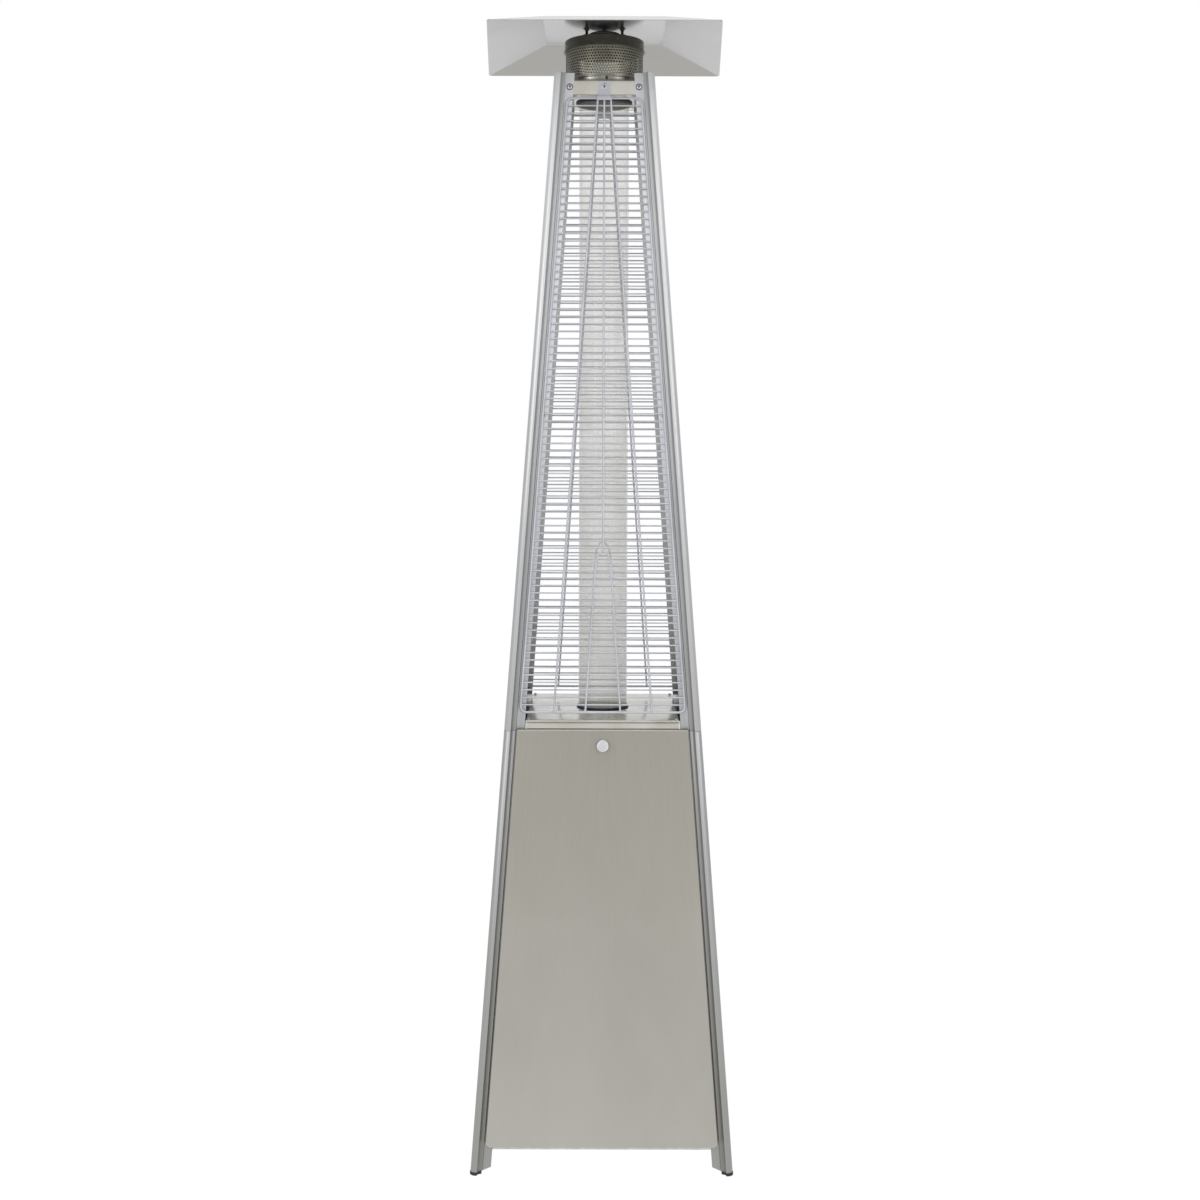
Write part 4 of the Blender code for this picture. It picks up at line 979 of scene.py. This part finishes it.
def makeGlassTube():
    size = {"wall": 0.0025, "round": 0.0008, "sealRound": 0.0007, "sealBore": 0.0005, "collar": 0.0032}
    size.update({"ringRound": 0.0004, "ringSlope": 0.0015})
    low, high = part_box("glass_tube")
    radius = high.x
    inner = radius - size["wall"]
    bm = lathe(tubeLine(inner, radius, low.z, high.z), 128)
    soften(bm, size["round"], 50, 3)
    keep("glassTube", bm, glassCoat, ["glass_tube"])

    sealLow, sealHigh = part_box("glass_seal_bottom")
    bore, step = inner - size["sealBore"], radius + fit
    outline = [
        (bore, sealLow.z), (sealHigh.x, sealLow.z), (sealHigh.x, sealHigh.z), (step, sealHigh.z),
        (step, low.z - fit), (bore, low.z - fit),
    ]
    bm = lathe(outline, 96)
    soften(bm, size["sealRound"], 50, 3)
    keep("glassSeal", bm, blackEnamel, ["glass_seal_bottom"])

    ringLow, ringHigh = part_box("glass_ring_top")
    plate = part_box("top_support")[0].z
    wide, slim = ringHigh.x, step + size["collar"]
    outline = [
        (step, ringLow.z), (slim, ringLow.z), (wide, ringLow.z + size["ringSlope"]), (wide, plate - fit),
        (slim, plate - fit), (slim, ringHigh.z), (step, ringHigh.z),
    ]
    bm = lathe(outline, 96)
    soften(bm, size["ringRound"], 50, 2)
    keep("glassRing", bm, blackEnamel, ["glass_ring_top"])
    print("glass")


# ---- head of the heater

def makeTopSupport():
    size = {"wall": 0.0012, "bend": 0.0020, "ringLap": 0.003, "headHole": 0.060}
    low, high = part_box("top_support")
    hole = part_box("glass_ring_top")[1].x - size["ringLap"] + fit
    seat = flangeBack + fit
    half = outerHalf(low.z) - seat
    top = outerHalf(high.z) - seat
    bm = flatSheet(rectangle(half, half), [(0, 0, hole)], low.z, 96)
    rim = []
    for edge in bm.edges:
        corner = edge.verts[0].co
        if edge.is_boundary and max(abs(corner.x), abs(corner.y)) > half - touch:
            rim.append(edge)
    raised = extend(bm, rim, (0, 0, high.z - low.z))
    bmesh.ops.scale(bm, vec=(top / half, top / half, 1), verts=raised)
    soften(bm, size["bend"], 40, 3)
    thicken(bm, size["wall"])
    keep("topSupport", bm, polishedSteel, ["top_support"])

    low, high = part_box("head_plate")
    bm = flatSheet(rectangle(high.x, high.x), [(0, 0, size["headHole"])], high.z, 96)
    thicken(bm, high.z - low.z)
    keep("headPlate", bm, polishedSteel, ["head_plate"])
    print("top support")


screenSize = {"rows": 10, "hole": 0.0019, "seam": 0.016, "wall": 0.0006, "margin": 0.0022}
screenSize.update({"stretch": 1.06, "weld": 0.00005, "seamTurn": -118})  # turn in degrees


# One cell of perforated sheet is a square with a round hole; rows are staggered by half a cell.
def makeScreen():
    size = screenSize
    low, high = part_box("flame_screen")
    radius = high.x
    girth = 2 * math.pi * radius
    rise = (high.z - low.z - 2 * size["margin"]) / size["rows"]
    count = round((girth - size["seam"]) / (rise * size["stretch"]))
    pitch = (girth - size["seam"]) / count
    bm = bmesh.new()
    bmesh.ops.create_circle(bm, segments=8, radius=size["hole"])
    for vert in extend(bm, bm.edges[:]):  # pull the outer ring out to the cell's corners and mid sides
        reach = max(abs(vert.co.x), abs(vert.co.y))
        snap = [0 if abs(c) < reach * 0.2 else math.copysign(1, c) for c in (vert.co.x, vert.co.y)]
        vert.co.x = snap[0] * pitch / 2
        vert.co.y = snap[1] * rise / 2
    cell = bpy.data.meshes.new("screenCell")
    bm.to_mesh(cell)
    bm.free()
    sheet = bmesh.new()
    for row in range(size["rows"]):
        for column in range(count):
            before = len(sheet.verts)
            sheet.from_mesh(cell)
            sheet.verts.ensure_lookup_table()
            shift = (column + 0.5 + (0.5 if row % 2 else 0)) * pitch
            lift = low.z + size["margin"] + (row + 0.5) * rise
            bmesh.ops.translate(sheet, vec=(shift, lift, 0), verts=sheet.verts[before:])
    bpy.data.meshes.remove(cell)
    bmesh.ops.remove_doubles(sheet, verts=sheet.verts, dist=size["weld"])
    keepSheetEdges(sheet, low.z, high.z, size["margin"], girth)
    for vert in sheet.verts:  # wrap it round the axis, seam at the left
        turn = vert.co.x / girth * 2 * math.pi + math.radians(size["seamTurn"])
        vert.co = (radius * math.sin(turn), -radius * math.cos(turn), vert.co.y)
    bmesh.ops.remove_doubles(sheet, verts=sheet.verts, dist=size["weld"])
    bmesh.ops.recalc_face_normals(sheet, faces=sheet.faces)
    bmesh.ops.solidify(sheet, geom=sheet.faces[:], thickness=size["wall"])
    keep("flameScreen", sheet, screenSteel, ["flame_screen"])
    print("perforated screen")


# Closes the strips above, below and beside the holes.
def keepSheetEdges(sheet, low, high, margin, girth):
    rows = ((low, low + margin), (high - margin, high))
    for foot, head in rows:
        strip = bmesh.ops.create_grid(sheet, x_segments=120, y_segments=1, size=0.5)["verts"]
        bmesh.ops.scale(sheet, vec=(girth, head - foot, 1), verts=strip)
        bmesh.ops.translate(sheet, vec=(girth / 2, (foot + head) / 2, 0), verts=strip)
    strip = bmesh.ops.create_grid(sheet, x_segments=6, y_segments=1, size=0.5)["verts"]
    bmesh.ops.scale(sheet, vec=(screenSize["seam"], high - low - 2 * margin, 1), verts=strip)
    bmesh.ops.translate(sheet, vec=(girth - screenSize["seam"] / 2, (low + high) / 2, 0.0), verts=strip)


def makeHead():
    neckLow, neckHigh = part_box("screen_neck")
    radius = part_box("flame_screen")[1].x
    bore, waist, bead = radius - 0.0030, radius - 0.0005, radius + 0.0006
    outline = [
        (bore, neckLow.z), (radius + 0.0002, neckLow.z), (waist, neckLow.z + 0.0012),
        (waist, neckHigh.z - 0.0030), (bead, neckHigh.z - 0.0018), (bead, neckHigh.z), (bore, neckHigh.z),
    ]
    bm = lathe(outline, 128)
    soften(bm, 0.0003, 40, 2)
    keep("screenNeck", bm, neckSteel, ["screen_neck"])
    forward = Matrix.Rotation(math.radians(90), 4, "X")
    screw = screwShape(0.0030, 0.0024)
    place = Matrix.Translation((0.0045, 0.0004 - radius, neckHigh.z - 0.0060))
    bmesh.ops.transform(screw, matrix=place @ forward, verts=screw.verts)
    keep("neckScrew", screw, studSteel)

    capLow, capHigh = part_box("screen_cap")
    cap = {"band": 0.0195, "top": 0.046, "hole": 0.028, "sheet": 0.0012, "bead": 0.0015, "lipShadowOut": 0.0008}
    side = capHigh.x - cap["bead"]
    foot, inside = capLow.z, side - cap["sheet"]
    shoulder = foot + cap["band"]
    under = capHigh.z - cap["sheet"]
    outline = [
        (radius - 0.001, foot + 0.0008), (side + 0.0004, foot + 0.0008), (side, foot + 0.0018),
        (side, shoulder - 0.0006), (side - 0.0012, shoulder + 0.0003),
        (cap["top"], capHigh.z), (cap["hole"], capHigh.z), (cap["hole"], under), (cap["top"], under),
        (inside - 0.0008, shoulder - cap["sheet"]), (inside, foot + 0.0022), (radius - 0.001, foot + 0.0022),
    ]
    bm = lathe(outline, 128)
    soften(bm, 0.0004, 35, 2)
    keep("screenCap", bm, capSteel, ["screen_cap"])
    # A dark ring under the cap's lip: painted shadow of the gap beneath it.
    lip, within = capHigh.x + cap["lipShadowOut"], radius - 0.0006
    outline = [
        (within, foot - 0.0006), (lip, foot - 0.0010), (lip, foot + 0.0002), (side - 0.0006, foot + 0.0012),
        (within, foot + 0.0010),
    ]
    keep("capLipShadow", lathe(outline, 128), studSteel)

    rivet = {"radius": 0.0022, "rise": 0.0009, "sink": 0.0008, "count": 8, "level": 0.0115, "start": 0.42}
    outline = [
        (0, rivet["rise"]), (rivet["radius"] * 0.6, rivet["rise"] * 0.85), (rivet["radius"], 0.0),
        (rivet["radius"], -rivet["sink"]), (0, -rivet["sink"]),
    ]
    place = Matrix.Translation((0, -side, foot + rivet["level"])) @ forward
    rivets = bmesh.new()
    for index in range(rivet["count"]):
        stud = lathe(outline, 16)
        turn = Matrix.Rotation(2 * math.pi * (index + rivet["start"]) / rivet["count"], 4, "Z")
        bmesh.ops.transform(stud, matrix=turn @ place, verts=stud.verts)
        joinTo(rivets, stud)
    keep("capRivets", rivets, studSteel)

    discLow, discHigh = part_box("cap_disc")
    disc = {"radius": discHigh.x, "edge": 0.003, "edgeDrop": 0.0018}
    disc.update({"boss": 0.014, "bossTop": 0.012, "bossRise": 0.0014})
    crown = discHigh.z + disc["bossRise"]
    outline = [
        (0, discLow.z), (disc["radius"], discLow.z), (disc["radius"], discHigh.z - disc["edgeDrop"]),
        (disc["radius"] - disc["edge"], discHigh.z), (disc["boss"], discHigh.z),
        (disc["bossTop"], crown), (0, crown),
    ]
    bm = lathe(outline, 96)
    soften(bm, 0.0006, 30, 2)
    keep("capDisc", bm, studSteel, ["cap_disc"])
    print("head")


# ---- studs that carry the reflector

def hexNut(across, foot, head):
    bm = bmesh.new()
    place = Matrix.Translation((0, 0, (foot + head) / 2))
    bmesh.ops.create_cone(
        bm, cap_ends=True, segments=6, radius1=across / math.sqrt(3), radius2=across / math.sqrt(3),
        depth=head - foot, matrix=place,
    )
    soften(bm, 0.0004, 50, 2)
    return bm


def makeStuds():
    size = {"radius": 0.0030, "thread": 0.0003, "pitch": 0.0010, "washer": 0.0078, "sheet": 0.0010}
    size.update({"nut": 0.0090, "tall": 0.0030, "topTall": 0.0042, "hood": 0.0012, "tip": 0.001})
    radius, root = size["radius"], size["radius"] - size["thread"]
    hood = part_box("reflector")[1].z
    plane = hood - size["hood"]
    for name in ("rear", "front_left", "front_right"):
        low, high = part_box("reflector_stud_" + name)
        outline = [(0, low.z), (root, low.z)]
        for turn in range(int((high.z - low.z) / size["pitch"])):
            crest = low.z + (turn + 0.5) * size["pitch"]
            outline += [(radius, crest), (root, crest + size["pitch"] / 2)]
        outline += [(radius - size["tip"], high.z), (0, high.z)]
        bm = lathe(outline, 20)
        for foot in (plane - fit - size["sheet"], hood + fit, low.z):
            joinTo(bm, lathe(tubeLine(radius, size["washer"], foot, foot + size["sheet"]), 32))
        under = plane - 2 * fit - size["sheet"]
        above = hood + 2 * fit + size["sheet"]
        joinTo(bm, hexNut(size["nut"], under - size["tall"], under))
        joinTo(bm, hexNut(size["nut"], above, above + size["topTall"]))
        centre = ((low.x + high.x) / 2, (low.y + high.y) / 2, 0)
        bmesh.ops.translate(bm, vec=centre, verts=bm.verts)
        label = "reflectorStud" + name.title().replace("_", "")
        keep(label, bm, studSteel, ["reflector_stud_" + name])
    print("studs and nuts")


# ---- reflector

def makeReflector():
    size = {"front": 0.220, "back": 0.2475, "deep": 0.250, "flat": 0.119, "sheet": 0.0012}
    size.update({"corner": 0.010, "hip": 0.0035, "crease": 0.0022})
    low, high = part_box("reflector")
    plane = high.z - size["sheet"]
    bm = bmesh.new()
    bmesh.ops.create_grid(bm, x_segments=1, y_segments=1, size=size["flat"])
    bmesh.ops.translate(bm, vec=(0, 0, plane), verts=bm.verts)
    rounded = {"profile": 0.5, "material": -1}
    corners = extend(bm, bm.edges[:])
    for vert in corners:
        wide = size["front"] if vert.co.y < 0 else size["back"]
        vert.co = (math.copysign(wide, vert.co.x), math.copysign(size["deep"], vert.co.y), low.z)
    bmesh.ops.bevel(bm, geom=corners, offset=size["corner"], affect="VERTICES", segments=5, **rounded)
    hips = []
    for edge in bm.edges:
        drop = abs(edge.verts[0].co.z - edge.verts[1].co.z)
        if drop > 0.01 and not edge.is_boundary:
            hips.append(edge)
    bmesh.ops.bevel(bm, geom=hips, offset=size["hip"], affect="EDGES", segments=4, **rounded)
    folds = []
    for edge in bm.edges:
        level = all(abs(vert.co.z - plane) < touch for vert in edge.verts)
        if level and len(edge.link_faces) == 2 and edge.calc_face_angle(0) > math.radians(8):
            folds.append(edge)
    bmesh.ops.bevel(bm, geom=folds, offset=size["crease"], affect="EDGES", segments=3, **rounded)
    bmesh.ops.recalc_face_normals(bm, faces=bm.faces)
    thicken(bm, size["sheet"])
    keep("reflectorHood", bm, reflectorAluminium, ["reflector"], crease=25)
    print("reflector")


# ---- wire guards

guardSize = {
    "wire": 0.0024,
    "cross": 0.0015,
    "upright": 0.0020,
    "edge": 0.0268,
    "corner": 0.0115,
    "intervals": 82,
    "sink": 0.0010,
    "past": 0.001,
    "uprightFoot": 0.0965,
    "uprightTop": 0.0125,
    "apex": 1.226,
    "hairTop": 0.0155,
    "hairFoot": 0.0345,
    "hairDrop": 0.032,
    "hairRise": 0.034,
    "tabLevel": 1.496,
    "tab": (0.007, 0.0012, 0.010),
    "hook": (0.0012, 0.008, 0.010),
    "hookIn": 0.0040,
    "hookOut": 0.0008,
}


# The hairpin: up one leg, round its head and down the other.
def hairpin(front, foot):
    size = guardSize
    head = size["apex"] - size["hairDrop"]
    line = [(-size["hairFoot"], front, foot), (-size["hairTop"], front, head)]
    for step in range(1, 8):
        turn = math.radians(180 - 180 * step / 8)
        rise = size["hairRise"] * math.sin(turn)
        line.append((size["hairTop"] * math.cos(turn), front, head + rise))
    return line + [(size["hairTop"], front, head), (size["hairFoot"], front, foot)]


def makeGuards():
    size = guardSize
    low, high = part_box("guard_front")
    foot = low.z + size["wire"]
    head = high.z - size["wire"]
    plane = post["flangeFace"] - fit - size["wire"]
    front = plane - size["cross"] - size["upright"] + size["sink"]
    lowEnd, highEnd = foot - size["past"], head + size["past"]

    def frameEdge(z):
        return outerHalf(z) - size["edge"] - size["wire"]

    for side in sideAngle:
        bm = bmesh.new()
        corners = [
            (-frameEdge(foot), plane, foot), (frameEdge(foot), plane, foot),
            (frameEdge(head), plane, head), (-frameEdge(head), plane, head),
        ]
        loop = []
        for index, corner in enumerate(corners):
            loop += cornerPoints(corner, corners[index - 1], corners[(index + 1) % 4], size["corner"])
        bentWire(bm, loop, size["wire"], 10, True)
        for index in range(1, size["intervals"]):
            z = foot + index * (head - foot) / size["intervals"]
            across = frameEdge(z) + size["wire"] * 0.4
            deep = plane + 0.0004
            wire(bm, (-across, deep, z), (across, deep, z), size["cross"], 8)
        for sign in (-1, 1):
            start = (sign * size["uprightFoot"], front, lowEnd)
            wire(bm, start, (sign * size["uprightTop"], front, highEnd), size["upright"], 10)
        wire(bm, (0, front, size["apex"] + 2 * size["past"]), (0, front, highEnd), size["upright"], 10)
        bentWire(bm, hairpin(front, lowEnd), size["upright"], 10)
        ontoSide(bm, side)
        keep("guardWires_" + side, bm, guardPaint, ["guard_" + side], crease=50)

        tabs = bmesh.new()
        z = size["tabLevel"]
        for sign in (-1, 1):
            across = sign * (frameEdge(z) - size["past"])
            brick(tabs, size["tab"], (across, flangeBack + size["tab"][1], z))
            hook = (across - sign * size["hookIn"], post["flangeFace"] - size["hookOut"], z)
            brick(tabs, size["hook"], hook)
        soften(tabs, 0.0004, 50, 2)
        ontoSide(tabs, side)
        keep("guardTabs_" + side, tabs, guardPaint)
    print("wire guards")


def makeClips():
    size = {"topHalf": 0.0095, "footHalf": 0.0144, "hook": 0.0075, "sheet": 0.0012, "bend": 0.0008}
    size.update({"eyelet": 0.0014, "eyeletDrop": 0.0038, "clear": 0.0022})
    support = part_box("top_support")[1].z
    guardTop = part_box("guard_front")[1].z
    back = flangeBack - size["sheet"]
    front = post["flangeFace"] - 2 * fit - 2 * guardSize["wire"] - size["sheet"] - size["clear"]
    shelf = guardTop + fit
    stand = Matrix(((1, 0, 0, 0), (0, 0, 1, back), (0, 1, 0, 0), (0, 0, 0, 1)))
    for side in sideAngle:
        outline = [
            (-size["footHalf"], shelf), (size["footHalf"], shelf), (size["topHalf"], support),
            (-size["topHalf"], support),
        ]
        bm = flatSheet(outline, [(0, support - size["eyeletDrop"], size["eyelet"])], 0.0, 16)
        bmesh.ops.transform(bm, matrix=stand, verts=bm.verts)
        foldDown(bm, shelf, (0, front - back, 0))
        foldDown(bm, shelf, (0, 0, -size["hook"]), front)
        soften(bm, size["bend"], 40, 3)
        thicken(bm, size["sheet"])
        ontoSide(bm, side)
        keep("guardClip_" + side, bm, guardPaint, ["guard_clip_" + side])
    print("guard clips")


# Folds on from the edge that lies at this height, and at this depth where one is given.
def foldDown(bm, level, move, depth=None):
    chosen = []
    for edge in bm.edges:
        flat = all(abs(vert.co.z - level) < touch for vert in edge.verts)
        deep = depth is None or all(abs(vert.co.y - depth) < touch for vert in edge.verts)
        if flat and deep and edge.is_boundary:
            chosen.append(edge)
    extend(bm, chosen, move)


# ---- finishes of the pieces that stay as the frame has them

def dressFrame():
    coats = {
        blackEnamel: "control_panel",
        burntSteel: "mixing_tube",
        sootSteel: "burner_cup",
        zincSteel: "base_tray door_hinge_left door_hinge_right gas_valve thermocouple valve_stem",
        blackPlastic: "door_magnet spark_electrode tilt_switch control_knob igniter_body igniter_button",
        brassCoat: "supply_pipe gas_inlet_fitting pilot_burner",
    }
    for paint, nodes in coats.items():
        for node in nodes.split():
            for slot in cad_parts[node].material_slots:
                slot.material = paint
    print("frame dressed")


makeLegs()
makePanels()
makeDoor()
makeScrews()
makeDeck()
makeGlassTube()
makeTopSupport()
makeScreen()
makeHead()
makeStuds()
makeReflector()
makeGuards()
makeClips()
dressFrame()
